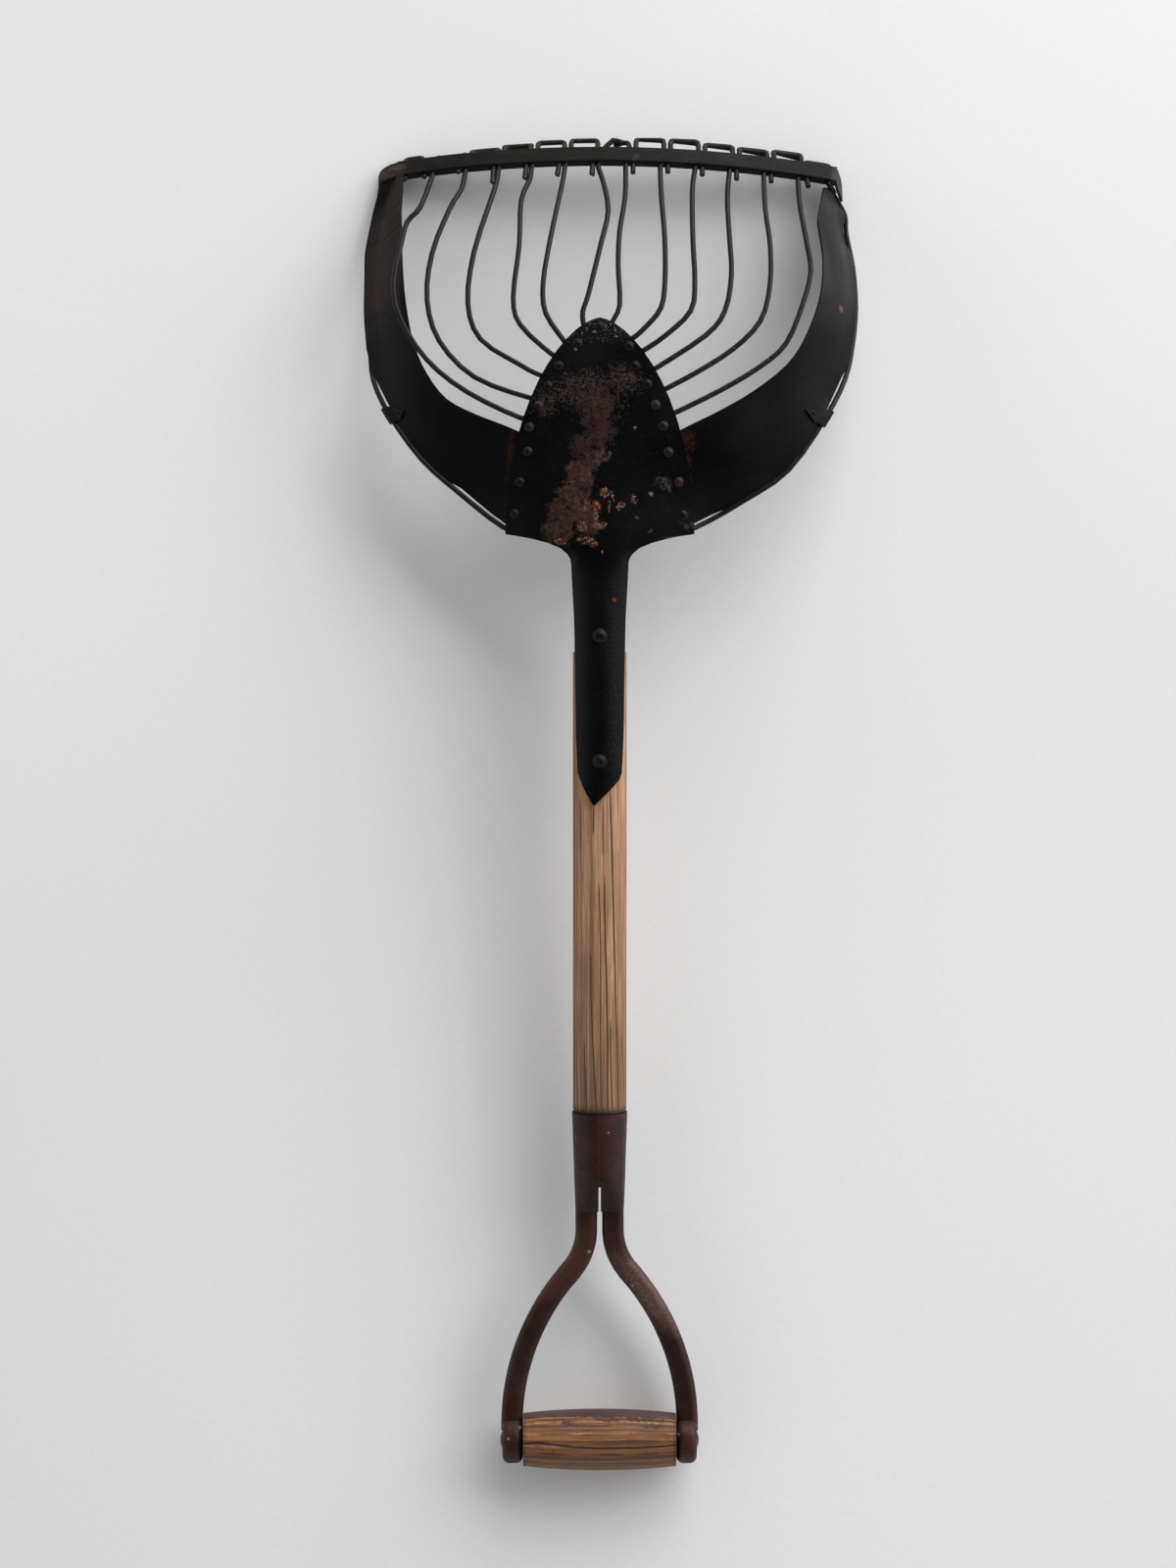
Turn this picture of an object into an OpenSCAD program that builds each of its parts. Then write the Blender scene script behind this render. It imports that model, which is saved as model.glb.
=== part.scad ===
// Wire scoop: a shovel with a D handle and a bowl of iron wires
// It lies as found: bowl opening down, on the grip and the two front corners
// X runs across the head, Y from the grip to the mouth, Z up from the floor

/* [Handle] */
// Diameter of the wooden shaft
shaft_dia = 38; // [34:0.5:42]
// Distance from the axis of the grip to the neck of the head
handle_reach = 626; // [560:1:720]
// Height of the shaft's axis above the floor at the neck
neck_height = 62; // [50:1:72]
// How far the shaft stands to the left of the middle of the worn head
handle_shift = 9; // [0:0.5:12]
// Length of the solid wedge that the shaft's end makes between the plates
wedge_length = 88; // [70:1:100]
// Width of the wedge at its thin end
wedge_end_w = 26; // [18:1:30]

/* [D handle] */
// Outer width of the D handle over its eyes
yoke_width = 139; // [125:1:160]
// Thickness of each eye along the grip
eye_thick = 14.5; // [10:0.5:18]
// Diameter of each eye
eye_dia = 33.5; // [30:0.5:40]
// Width of the arms, seen from above
arm_w = 15.5; // [15:0.5:18]
// Thickness of the arms
arm_t = 13.5; // [10:0.5:17]
// Corner radius of the arms' section
arm_round = 5.5; // [3:0.5:6]
// Distance from the axis of the grip to the end of the socket
yoke_length = 190; // [180:1:215]
// Distance between the arms' centre lines at the socket
arm_root_gap = 19; // [17.5:0.5:24]
// Angle that the arms lean outwards
arm_lean = 40; // [30:1:45]
// Radius of the bend below the socket
arm_upper_r = 46; // [35:1:60]
// Length of the socket
socket_length = 47; // [35:1:60]
// Wall of the socket at its mouth
socket_wall = 1.8; // [1.4:0.1:3]
// Outer diameter at the bottom of the socket
socket_end_dia = 36.5; // [34:0.5:38]
// Diameter of the cross pin in the socket
socket_pin_dia = 5; // [4:0.5:7]
// Distance from the socket's mouth to the cross pin
socket_pin_inset = 24; // [12:1:30]

/* [Grip] */
// Diameter of the grip at its middle
grip_mid_dia = 43.5; // [38:0.5:46]
// Diameter of the grip at its ends
grip_end_dia = 37.5; // [34:0.5:40]
// Diameter of the rod through the grip
rod_dia = 9.5; // [8:0.5:12]
// Radial running clearance of the grip on its rod
rod_play = 0.05; // [0.03:0.01:0.1]
// Gap between each end of the grip and its eye
grip_end_gap = 0.4; // [0.3:0.1:0.8]

/* [Plates] */
// Length of the plates from the neck to the tongue
plate_length = 172; // [165:1:180]
// Width of the plates at their rear corners
plate_width = 132; // [128:1:138]
// Distance from the neck to the rear corners
plate_corner = 21; // [18:0.5:26]
// Thickness of the sheet of the plates
plate_t = 2; // [1.5:0.1:2.5]
// Length of the strap behind the neck
strap_length = 170; // [150:1:200]
// Width of the strap at the neck
neck_w = 39; // [36:0.5:41]
// Width of the strap before its point
strap_w = 31.5; // [26:0.5:34]
// Length of the strap's point
strap_point = 23; // [15:0.5:30]
// Clearance between the straps and the shaft
strap_clear = 0.25; // [0.2:0.05:0.6]
// Drop of the plate's rear corners below its crown
corner_drop = 14; // [8:0.5:18]
// Gap that the plates leave for a wire, beyond its own diameter
wire_clear = 0.4; // [0.3:0.1:1]

/* [Rivets] */
// Diameter of the plate rivets' shanks
rivet_dia = 4; // [3:0.5:4.5]
// Diameter of the plate rivets' heads
rivet_head = 7.2; // [5.5:0.1:8]
// Height of the plate rivets' heads
rivet_rise = 2; // [1.2:0.1:2.5]
// Diameter of the strap rivets' shanks
strap_rivet_dia = 6.5; // [5:0.5:8]
// Diameter of the strap rivets' heads
strap_rivet_head = 10.5; // [9:0.1:12]
// Height of the strap rivets' heads
strap_rivet_rise = 3.2; // [2:0.1:4]
// Distance from the neck back to the first strap rivet
strap_rivet_first = 50; // [40:1:70]
// Distance between the two strap rivets
strap_rivet_pitch = 88; // [60:1:90]

/* [Bowl] */
// Diameter of the tines' wire
tine_dia = 3.8; // [3:0.1:4.2]
// Diameter of the rim rods
rim_dia = 3.8; // [3:0.1:4.2]
// Thickness of the wings' sheet
wing_t = 1.6; // [1.2:0.1:2.2]
// How far the middle of a wing swells out of its chord
wing_belly = 3; // [0:0.5:5]
// Gap between a wing's edge and its rim rod
rim_gap = 0.5; // [0.3:0.1:1]
// Fall of the bowl's crown at a hundred millimetres to each side
side_fall = 5.3; // [4:0.1:7]

/* [Front bar] */
// Length of the bar between its two folds
bar_length = 315; // [312:1:320]
// Width of the bar's flat face
bar_w = 13; // [12:0.5:16]
// Thickness of the bar
bar_t = 7.2; // [6.6:0.1:9]
// Distance from the neck to the middle of the bar
bar_reach = 294.5; // [290:0.5:300]
// Height of the middle of the bar above the floor
bar_height = 23; // [21:0.5:26]
// Rise of the bar's bow in its own plane
bar_bow = 17; // [14:0.5:17.5]
// Angle of the bow's plane above the floor
bar_bow_angle = 54; // [50:1:70]
// Slope of the bar's face down to the mouth
bar_slope = 28; // [20:1:32]
// How far the left end of the bar hangs below the right end, in degrees
bar_roll = 0.5; // [0:0.1:0.8]
// How far the right end of the bar stands back from the left end, in degrees
bar_yaw = 0.8; // [0:0.1:1]
// Play of a wire in its hole, on the radius
hole_play = 0.2; // [0.15:0.05:0.3]
// How far the bar stands to the right of the head's own middle
bar_offset = 3.5; // [2:0.1:5]
// Distance between a tine's hole and the hole of the stub beside it
stub_offset = 4.8; // [4.7:0.1:5.5]
// Slant of the holes of the left half, towards the right at the front
slant_left = 14; // [0:1:18]
// Slant of the holes of the right half, towards the right at the front
slant_right = 8; // [0:1:12]
// Distance between neighbouring tines in the left half
pitch_left = 23.9; // [22:0.1:24.5]
// Distance between neighbouring tines in the right half
pitch_right = 24.8; // [23:0.1:25.2]
// How far the loops of the tines stand out of the bar
loop_reach = 8; // [6.5:0.5:9]
// Thickness of the folded tabs at the bar's ends
tab_t = 2; // [1.5:0.1:3]

/* [Rim clips] */
// Reach of the left clip's point from the rod's axis
clip_reach_left = 13.5; // [12:0.5:16]
// Reach of the right clip's point from the rod's axis
clip_reach_right = 18; // [14:0.5:22]
// Width of the clips along the rod
clip_w = 13; // [9:0.5:16]
// Thickness of the clips' sheet
clip_t = 1.4; // [1:0.1:2]
// Clearance between a clip and what it wraps
clip_clear = 0.4; // [0.3:0.05:0.6]
// Diameter of the clips' rivets
clip_rivet_dia = 3; // [2.5:0.1:4]

/* [Hidden] */
$fn = 64;

// Colours of the real materials
black_iron = [0.09, 0.085, 0.085];
wire_iron = [0.16, 0.15, 0.16];
rust_iron = [0.26, 0.17, 0.15];
ash_wood = [0.62, 0.5, 0.38];
grip_wood = [0.5, 0.34, 0.2];

grip_z = grip_mid_dia / 2;
shaft_rise = asin((neck_height - grip_z) / handle_reach);
shaft_r = shaft_dia / 2;

// Smooth step from 0 to 1 as v goes from a to b
function ramp(v, a, b) =
    let (t = min(1, max(0, (v - a) / (b - a)))) t * t * (3 - 2 * t);

// One value of the smooth curve through four neighbouring values
function blend4(a, b, c, d, t) =
    b + 0.5 * t * (c - a + t * (2 * a - 5 * b + 4 * c - d + t * (3 * (b - c) + d - a)));

// Smooth curve through a list of points, with steps points to each span
function smooth_path(p, steps) =
    let (n = len(p))
    concat(
        [for (i = [0:n - 2], k = [0:steps - 1])
            blend4(p[max(0, i - 1)], p[i], p[i + 1], p[min(n - 1, i + 2)], k / steps)],
        [p[n - 1]]
    );

// Height read off a list of [place, height] points by the same smooth curve
function read_profile(p, v, i = 0) =
    v <= p[0][0] ? p[0][1] :
    v >= p[len(p) - 1][0] ? p[len(p) - 1][1] :
    v > p[i + 1][0] ? read_profile(p, v, i + 1) :
    let (t = (v - p[i][0]) / (p[i + 1][0] - p[i][0]))
    blend4(p[max(0, i - 1)][1], p[i][1], p[i + 1][1], p[min(len(p) - 1, i + 2)][1], t);

function unit(v) = v / norm(v);

// A round wire swept along a path, with its first and last rings square to it
wire_sides = 8;
module wire(path, dia) {
    n = len(path);
    along = [for (i = [0:n - 1]) unit(path[min(n - 1, i + 1)] - path[max(0, i - 1)])];
    side = carry_side(along);
    rings = [for (i = [0:n - 1])
        let (u = side[i], w = cross(along[i], u))
        for (k = [0:wire_sides - 1])
            path[i] + dia / 2 * (u * cos(360 * k / wire_sides) + w * sin(360 * k / wire_sides))];
    walls = [for (i = [0:n - 2], k = [0:wire_sides - 1])
        let (a = i * wire_sides + k, b = i * wire_sides + (k + 1) % wire_sides)
        for (tri = [[a, b, b + wire_sides], [a, b + wire_sides, a + wire_sides]]) [tri[0], tri[2], tri[1]]];
    start_cap = [[for (k = [0:wire_sides - 1]) k]];
    end_cap = [[for (k = [0:wire_sides - 1]) n * wire_sides - 1 - k]];
    polyhedron(rings, concat(walls, start_cap, end_cap), convexity = 10);
}

// Side directions of a swept ring, turned as little as possible from ring to ring
function carry_side(along) =
    [for (i = 0, u = first_side(along[0]); i < len(along);
        i = i + 1, u = i < len(along) ? square_to(u, along[i]) : u) u];
function first_side(t) = abs(t[0]) < 0.8 ? square_to([1, 0, 0], t) : square_to([0, 0, 1], t);
function square_to(u, t) = unit(u - t * (u * t));

// A sheet of even thickness below a grid of points, or above it where thick is negative
module sheet(grid, thick) {
    rows = len(grid);
    cols = len(grid[0]);
    top = [for (r = [0:rows - 1], c = [0:cols - 1]) grid[r][c]];
    below = [for (r = [0:rows - 1], c = [0:cols - 1])
        let (
            du = grid[min(rows - 1, r + 1)][c] - grid[max(0, r - 1)][c],
            dv = grid[r][min(cols - 1, c + 1)] - grid[r][max(0, c - 1)]
        )
        grid[r][c] + thick * unit(cross(du, dv))];
    if (thick > 0) closed_shell(top, below, rows, cols);
    else closed_shell(below, top, rows, cols);
}

// Closes two grids of points of the same size into one solid
module closed_shell(top, below, rows, cols) {
    m = rows * cols;
    function id(r, c) = r * cols + c;
    upper = [for (r = [0:rows - 2], c = [0:cols - 2])
        for (t = [[id(r, c), id(r + 1, c), id(r + 1, c + 1)], [id(r, c), id(r + 1, c + 1), id(r, c + 1)]]) t];
    lower = [for (t = upper) [t[0] + m, t[2] + m, t[1] + m]];
    edge = concat(
        [for (c = [0:cols - 2]) [id(0, c), id(0, c + 1)]],
        [for (r = [0:rows - 2]) [id(r, cols - 1), id(r + 1, cols - 1)]],
        [for (c = [cols - 1:-1:1]) [id(rows - 1, c), id(rows - 1, c - 1)]],
        [for (r = [rows - 1:-1:1]) [id(r, 0), id(r - 1, 0)]]
    );
    rim = [for (e = edge) for (t = [[e[0], e[1], e[1] + m], [e[0], e[1] + m, e[0] + m]]) t];
    polyhedron(concat(top, below), concat(upper, lower, rim), convexity = 10);
}

// A domed rivet head on the plane z = 0
module dome(dia, rise) {
    ball_r = (dia * dia / 4 + rise * rise) / (2 * rise);
    rotate_extrude() intersection() {
        translate([0, rise - ball_r]) circle(r = ball_r, $fn = 128);
        square([dia, rise + 1]);
    }
}

// The handle, in its own frame: the grip's axis along X, the shaft along Y
half_yoke = yoke_width / 2;
eye_x = half_yoke - eye_thick / 2;
arm_x = half_yoke - eye_thick + arm_w / 2;
eye_gap = yoke_width - 2 * eye_thick;
grip_length = eye_gap - 2 * grip_end_gap;
rod_r = rod_dia / 2;
rod_head_dia = rod_dia + 3;
rod_head_rise = 1.6;
arm_start = rod_head_dia / 2 + 1;
socket_floor = 4;
socket_mouth = yoke_length + socket_length;
socket_dia = shaft_dia + 1.5;
tenon_gap = 0.1;
tenon_mouth_r = socket_dia / 2 - socket_wall - tenon_gap;
tenon_end_r = socket_end_dia / 2 - socket_wall - 1 - tenon_gap;
tenon_step = 2;

// The arm: straight root, upper bend, lean, lower bend and straight end
root_x = arm_root_gap / 2;
lower_start = 11;
lean_straight = 5;
lean_lap = 1;
lean_grow = 0.3;
bend_out = 1 - cos(arm_lean);
lower_r = (arm_x - root_x - arm_upper_r * bend_out - lean_straight * sin(arm_lean)) / bend_out;
lean_low_y = lower_start + lower_r * sin(arm_lean);
lean_high_y = lean_low_y + lean_straight * cos(arm_lean);
root_low_y = lean_high_y + arm_upper_r * sin(arm_lean);

module arm_section(grow = 0) {
    soft_rect(arm_w + grow, arm_t + grow, arm_round);
}

// A rectangle with round corners
module soft_rect(w, t, r) {
    inner_w = w - 2 * r;
    inner_t = t - 2 * r;
    square([w, inner_t], center = true);
    square([inner_w, t], center = true);
    for (sx = [-1, 1], sy = [-1, 1])
        translate([sx * inner_w / 2, sy * inner_t / 2]) circle(r = r);
}

// A straight run of the arm from the current place along +Y
module arm_run(length, grow = 0) {
    rotate([-90, 0, 0]) linear_extrude(height = length) arm_section(grow);
}

// A bend of the arm about an axis parallel to Z, from angle a0 through da
module arm_bend(radius, a0, da) {
    rotate([0, 0, a0]) rotate_extrude(angle = da, $fn = 180) translate([radius, 0]) arm_section();
}

module right_arm() {
    translate([arm_x, arm_start, 0]) arm_run(lower_start - arm_start);
    translate([arm_x - lower_r, lower_start, 0]) arm_bend(lower_r, 0, arm_lean);
    translate([arm_x - lower_r * bend_out, lean_low_y, 0]) rotate([0, 0, arm_lean])
        translate([0, -lean_lap, 0]) arm_run(lean_straight + 2 * lean_lap, lean_grow);
    translate([root_x + arm_upper_r, root_low_y, 0]) arm_bend(arm_upper_r, 180, arm_lean);
    translate([root_x, root_low_y, 0]) arm_run(yoke_length - root_low_y);
}

// An eye with rounded rims, its axis along X
eye_soft = 5;
module eye() {
    rotate([0, 90, 0]) rotate_extrude() {
        square([eye_dia / 2, eye_thick - 2 * eye_soft]);
        translate([0, -eye_soft]) square([eye_dia / 2 - eye_soft, eye_thick]);
        translate([eye_dia / 2 - eye_soft, 0]) circle(r = eye_soft);
        translate([eye_dia / 2 - eye_soft, eye_thick - 2 * eye_soft]) circle(r = eye_soft);
    }
}

module handle_yoke() {
    throat = 24;
    slit = 1.6;
    bore_depth = socket_length - socket_floor;
    color(rust_iron) in_handle() difference() {
        union() {
            for (side = [0, 1]) mirror([side, 0, 0]) right_arm();
            for (side = [-1, 1])
                translate([side * eye_x - eye_thick / 2 + eye_soft, 0, 0]) eye();
            hull() {
                for (side = [-1, 1])
                    translate([side * root_x, yoke_length - throat, 0])
                        rotate([-90, 0, 0]) linear_extrude(height = 1) arm_section($fn = 32);
                translate([0, yoke_length, 0]) rotate([-90, 0, 0])
                    cylinder(d = socket_end_dia, h = 1, $fn = 32);
            }
            translate([0, yoke_length, 0]) rotate([-90, 0, 0])
                cylinder(d1 = socket_end_dia, d2 = socket_dia, h = socket_length);
        }
        translate([0, yoke_length + socket_floor, 0]) rotate([-90, 0, 0])
            cylinder(r1 = tenon_end_r + tenon_gap, r2 = tenon_mouth_r + tenon_gap, h = bore_depth + 0.01);
        translate([-slit / 2, root_low_y - 10, -eye_dia])
            cube([slit, yoke_length - root_low_y + 5, 2 * eye_dia]);
        rotate([0, 90, 0]) cylinder(r = rod_r, h = yoke_width + 2, center = true);
        translate([0, socket_mouth - socket_pin_inset, 0]) rotate([0, 90, 0])
            cylinder(d = socket_pin_dia, h = shaft_dia * 2, center = true);
    }
}

module socket_pin() {
    inset_end = 0.4;
    span = socket_end_dia + (socket_dia - socket_end_dia) * (1 - socket_pin_inset / socket_length);
    color(rust_iron) in_handle()
        translate([0, socket_mouth - socket_pin_inset, 0]) rotate([0, 90, 0])
            cylinder(d = socket_pin_dia, h = span - inset_end, center = true);
}

module grip_rod() {
    color(rust_iron) in_handle() {
        rotate([0, 90, 0]) cylinder(r = rod_r, h = yoke_width, center = true);
        for (side = [0, 1]) mirror([side, 0, 0])
            translate([half_yoke, 0, 0]) rotate([0, 90, 0]) dome(rod_head_dia, rod_head_rise);
    }
}

// A barrel: an arc turned about the grip's axis, with its bore
module grip() {
    rise = (grip_mid_dia - grip_end_dia) / 2;
    arc_r = (grip_length * grip_length / 4 + rise * rise) / (2 * rise);
    color(grip_wood) in_handle() rotate([0, 90, 0]) difference() {
        rotate_extrude($fn = 96) intersection() {
            translate([grip_mid_dia / 2 - arc_r, 0]) circle(r = arc_r, $fn = 720);
            translate([0, -grip_length / 2]) square([grip_mid_dia, grip_length]);
        }
        cylinder(r = rod_r + rod_play, h = grip_length + 2, center = true);
    }
}

// The surfaces of the head, measured from the neck on the shaft's axis
wire_seat = (tine_dia + wire_clear) / 2;
strap_r = shaft_r + strap_clear;
bar_rear_y = bar_reach - bar_w / 2 * cos(bar_slope);
bar_rear_z = bar_height - neck_height + bar_w / 2 * sin(bar_slope);
ridge_points = [
    [-50, 17.5], [0, 19.5], [60, 18], [130, 14.5], [180, 8.5], [228, -6], [262, -21],
    [bar_rear_y, bar_rear_z + wire_seat]
];

corner_reach = 95;
// The crown of the bowl: the underside of the outer plate and the top of every tine
function crown(x, y) =
    read_profile(ridge_points, y)
    - side_fall * pow((x - handle_shift) / 100, 2)
    - corner_drop * ramp(-y, -corner_reach, -plate_corner) * pow(2 * x / plate_width, 2);

function shaft_edge(x) = sqrt(max(0, strap_r * strap_r - x * x)) / cos(shaft_rise);
upper_blend = [-45, 30];
lower_blend = [-60, 45];
function skin_up(x, y) =
    let (k = ramp(y, upper_blend[0], upper_blend[1]))
    (1 - k) * (y * tan(shaft_rise) + shaft_edge(x)) + k * crown(x, y);
function skin_down(x, y) =
    let (k = ramp(y, lower_blend[0], lower_blend[1]))
    (1 - k) * (y * tan(shaft_rise) - shaft_edge(x)) + k * (crown(x, y) - 2 * wire_seat);

// Half the width of a plate and its strap at a place along the head
strap_mid_w = (strap_w + neck_w) / 2;
strap_widths = [
    [strap_point - strap_length, strap_w / 2], [strap_point + 25 - strap_length, strap_mid_w / 2 - 0.7],
    [-45, strap_mid_w / 2 + 0.5], [0, neck_w / 2]
];
plate_run = plate_length - plate_corner;
function half_width(y) =
    y < strap_point - strap_length ?
        max(0.6, strap_w / 2 * (1 - pow(1 - (y + strap_length) / strap_point, 1.4))) :
    y < 0 ? read_profile(strap_widths, y) :
    y < plate_corner ? (neck_w + (plate_width - neck_w) * pow(y / plate_corner, 2.5)) / 2 :
    max(0.6, plate_width / 2 * pow(max(0, 1 - pow(1 - (plate_length - y) / plate_run, 2)), 0.62));

plate_cols = 12;
plate_rows = concat(
    [for (i = [0:4]) -strap_length + strap_point * i / 5],
    [for (i = [0:11]) (strap_point - strap_length) * (1 - i / 12)],
    [for (i = [0:5]) plate_corner * i / 6],
    [for (i = [0:14]) plate_corner + (plate_length - plate_corner) * sin(90 * i / 14)]
);

module outer_plate() {
    grid = [for (y = plate_rows)
        let (
            k = ramp(y, upper_blend[0], upper_blend[1]),
            w = half_width(y) * (1 - (1 - k) * plate_t / (strap_r + plate_t))
        )
        [for (c = [0:plate_cols]) let (x = w * (2 * c / plate_cols - 1)) [x, y, skin_up(x, y)]]];
    color(black_iron) difference() {
        in_head() sheet(grid, -plate_t);
        rivet_holes();
        strap_rivet_holes();
    }
}

module inner_plate() {
    spare = 1;
    grid = [for (y = plate_rows)
        let (
            k = ramp(y, lower_blend[0], lower_blend[1]),
            w = half_width(y) * (1 - (1 - k) * plate_t / (strap_r + plate_t)) - spare * k
        )
        [for (c = [0:plate_cols]) let (x = max(0.5, w) * (2 * c / plate_cols - 1)) [x, y, skin_down(x, y)]]];
    color(black_iron) difference() {
        in_head() sheet(grid, plate_t);
        rivet_holes();
        strap_rivet_holes();
    }
}

// The shaft: a round length, a tenon in the socket and a wedge between the plates
module shaft() {
    round_end = handle_reach + lower_blend[0] - 2;
    fit = 0.35;
    wedge_from = lower_blend[0] - 4;
    steps = 11;
    rows = [for (i = [0:steps]) wedge_from + wedge_length * i / steps];
    cols = 8;
    function wedge_half(y) =
        let (t = (y - wedge_from) / wedge_length) (1 - t) * (shaft_r - 1.4) + t * wedge_end_w / 2;
    upper = [for (y = rows, c = [0:cols])
        let (x = wedge_half(y) * (2 * c / cols - 1)) [x, y, skin_up(x, y) - fit - strap_clear]];
    lower = [for (y = rows, c = [0:cols])
        let (x = wedge_half(y) * (2 * c / cols - 1)) [x, y, skin_down(x, y) + fit + strap_clear]];
    color(ash_wood) difference() {
        union() {
            in_handle() translate([0, socket_mouth, 0]) rotate([-90, 0, 0]) {
                cylinder(r1 = tenon_mouth_r, r2 = shaft_r, h = tenon_step);
                translate([0, 0, tenon_step])
                    cylinder(r = shaft_r, h = round_end - socket_mouth - tenon_step);
            }
            in_handle() translate([0, yoke_length + socket_floor + 1, 0]) rotate([-90, 0, 0])
                cylinder(r1 = tenon_end_r, r2 = tenon_mouth_r, h = socket_length - socket_floor - 0.9);
            in_head() closed_shell(upper, lower, steps + 1, cols + 1);
        }
        in_handle() translate([0, socket_mouth - socket_pin_inset, 0]) rotate([0, 90, 0])
            cylinder(d = socket_pin_dia, h = shaft_dia * 2, center = true);
        strap_rivet_holes();
    }
}

// Turns +Z to the direction n at the place p
module on_normal(p, n) {
    translate(p) rotate([0, acos(n[2]), atan2(n[1], n[0])]) children();
}

// The plate rivets: [distance from the neck, distance from the plate's edge], and those of the tongue
rivets_left = [[138, 8.7], [124, 8.5], [110, 7.7], [95, 6.2], [78, 9.5], [57, 7.7], [35, 6]];
rivets_right = [[138, 12.7], [125, 11], [110.5, 11.4], [95.7, 11.2], [77.5, 12.2], [57, 8.6], [34, 7.6]];
rivets_tongue = [[0, plate_length - 6], [-15.5, plate_length - 18], [20.6, plate_length - 20]];
rivet_places = concat(
    [for (r = rivets_left) [r[1] - half_width(r[0]), r[0]]],
    [for (r = rivets_right) [half_width(r[0]) - r[1], r[0]]],
    rivets_tongue
);
wing_rivet_limit = 80;
rivet_play = 0.05;
head_seat = 0.15;
tail_seat = 0.45;
sandwich = 2 * wire_seat + plate_t;

function crown_normal(x, y) =
    let (d = 0.5)
    unit([crown(x - d, y) - crown(x + d, y), crown(x, y - d) - crown(x, y + d), 2 * d]);

module on_crown(place) {
    in_head() on_normal([place[0], place[1], crown(place[0], place[1])], crown_normal(place[0], place[1]))
        children();
}

module rivet_holes(farthest = plate_length) {
    for (place = rivet_places)
        if (place[1] < farthest)
            on_crown(place) translate([0, 0, -sandwich - 3])
                cylinder(d = rivet_dia + 2 * rivet_play, h = sandwich + plate_t + 6);
}

module plate_rivets() {
    tail_head = 0.9 * rivet_head;
    tail_rise = 0.6 * rivet_rise;
    color(black_iron) for (place = rivet_places) {
        depth = crown(place[0], place[1]) - skin_down(place[0], place[1]) + plate_t + tail_seat;
        on_crown(place) {
            translate([0, 0, -depth]) cylinder(d = rivet_dia, h = depth + plate_t + head_seat);
            translate([0, 0, plate_t + head_seat]) dome(rivet_head, rivet_rise);
            translate([0, 0, -depth]) mirror([0, 0, 1]) dome(tail_head, tail_rise);
        }
    }
}

// The strap rivets stand on the handle's axis, square to it
strap_rivet_steps = [strap_rivet_first, strap_rivet_first + strap_rivet_pitch];

module strap_rivet_holes() {
    for (back = strap_rivet_steps)
        in_handle() translate([0, handle_reach - back, 0])
            cylinder(d = strap_rivet_dia + 2 * rivet_play, h = 2 * shaft_dia, center = true);
}

module strap_rivets() {
    outer_r = strap_r + plate_t + head_seat;
    color(black_iron) for (back = strap_rivet_steps) {
        level = skin_down(0, -back) + back * tan(shaft_rise);
        tail = -level * cos(shaft_rise) + plate_t + head_seat;
        in_handle() translate([0, handle_reach - back, 0]) {
            translate([0, 0, -tail]) cylinder(d = strap_rivet_dia, h = tail + outer_r);
            translate([0, 0, -tail]) mirror([0, 0, 1]) dome(strap_rivet_head, strap_rivet_rise);
            translate([0, 0, outer_r]) dome(strap_rivet_head, strap_rivet_rise);
        }
    }
}

// The front bar: an arc in a leaning plane, seen from its own middle
bar_half = bar_length / 2;
bow_r = (bar_half * bar_half + bar_bow * bar_bow) / (2 * bar_bow);
bar_middle = [handle_shift + bar_offset, bar_reach, bar_height - neck_height];
bar_twist = bar_slope + bar_bow_angle;

function in_bar(p) =
    let (x = p[0] * cos(bar_roll) - p[2] * sin(bar_roll), z = p[0] * sin(bar_roll) + p[2] * cos(bar_roll))
    bar_middle + [x * cos(bar_yaw) + p[1] * sin(bar_yaw), p[1] * cos(bar_yaw) - x * sin(bar_yaw), z];
function bar_radial(x) =
    let (s = sqrt(1 - pow(x / bow_r, 2))) [x / bow_r, s * cos(bar_bow_angle), s * sin(bar_bow_angle)];
bar_axial = [0, sin(bar_bow_angle), -cos(bar_bow_angle)];
function bar_forward(x) = cos(bar_twist) * bar_radial(x) + sin(bar_twist) * bar_axial;
function bar_up(x) = sin(bar_twist) * bar_radial(x) - cos(bar_twist) * bar_axial;

// A point beside the bar: x of the hole at mid width, distance forward and up, slant of the hole
function bar_place(x, forward, up = 0, slant = 0) =
    bow_r * (bar_radial(x) - bar_radial(0))
    + forward * (bar_forward(x) + [tan(slant), 0, 0])
    + up * bar_up(x);
function bar_point(x, forward, up = 0, slant = 0) = in_bar(bar_place(x, forward, up, slant));

// The holes: twelve tines, ten stubs beside them, and the two ends of each rim rod
tine_count = 12;
half_count = tine_count / 2;
first_left = -12.6;
first_right = 6.7;
lean_left = tan(slant_left) * bar_w / 2;
lean_right = tan(slant_right) * bar_w / 2;
rim_hole = 152.5;
rim_stub_left = -138.9;
rim_stub_right = 136.5;
rim_stub_slant = -8;

function is_left(i) = i < half_count;
function tine_x(i) =
    is_left(i) ? first_left - pitch_left * (half_count - 1 - i) + lean_left :
    first_right + pitch_right * (i - half_count) + lean_right;
function tine_slant(i) = is_left(i) ? slant_left : slant_right;
function stub_x(i) = is_left(i) ? tine_x(i + 1) - stub_offset : tine_x(i - 1) + stub_offset;
function has_stub(i) = i != half_count - 1 && i != half_count;
bar_holes = concat(
    [for (i = [0:tine_count - 1]) [tine_x(i), tine_slant(i)]],
    [for (i = [0:tine_count - 1]) if (has_stub(i)) [stub_x(i), tine_slant(i)]],
    [[-rim_hole, 0], [rim_hole, 0], [rim_stub_left, rim_stub_slant], [rim_stub_right, 0]]
);

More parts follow.
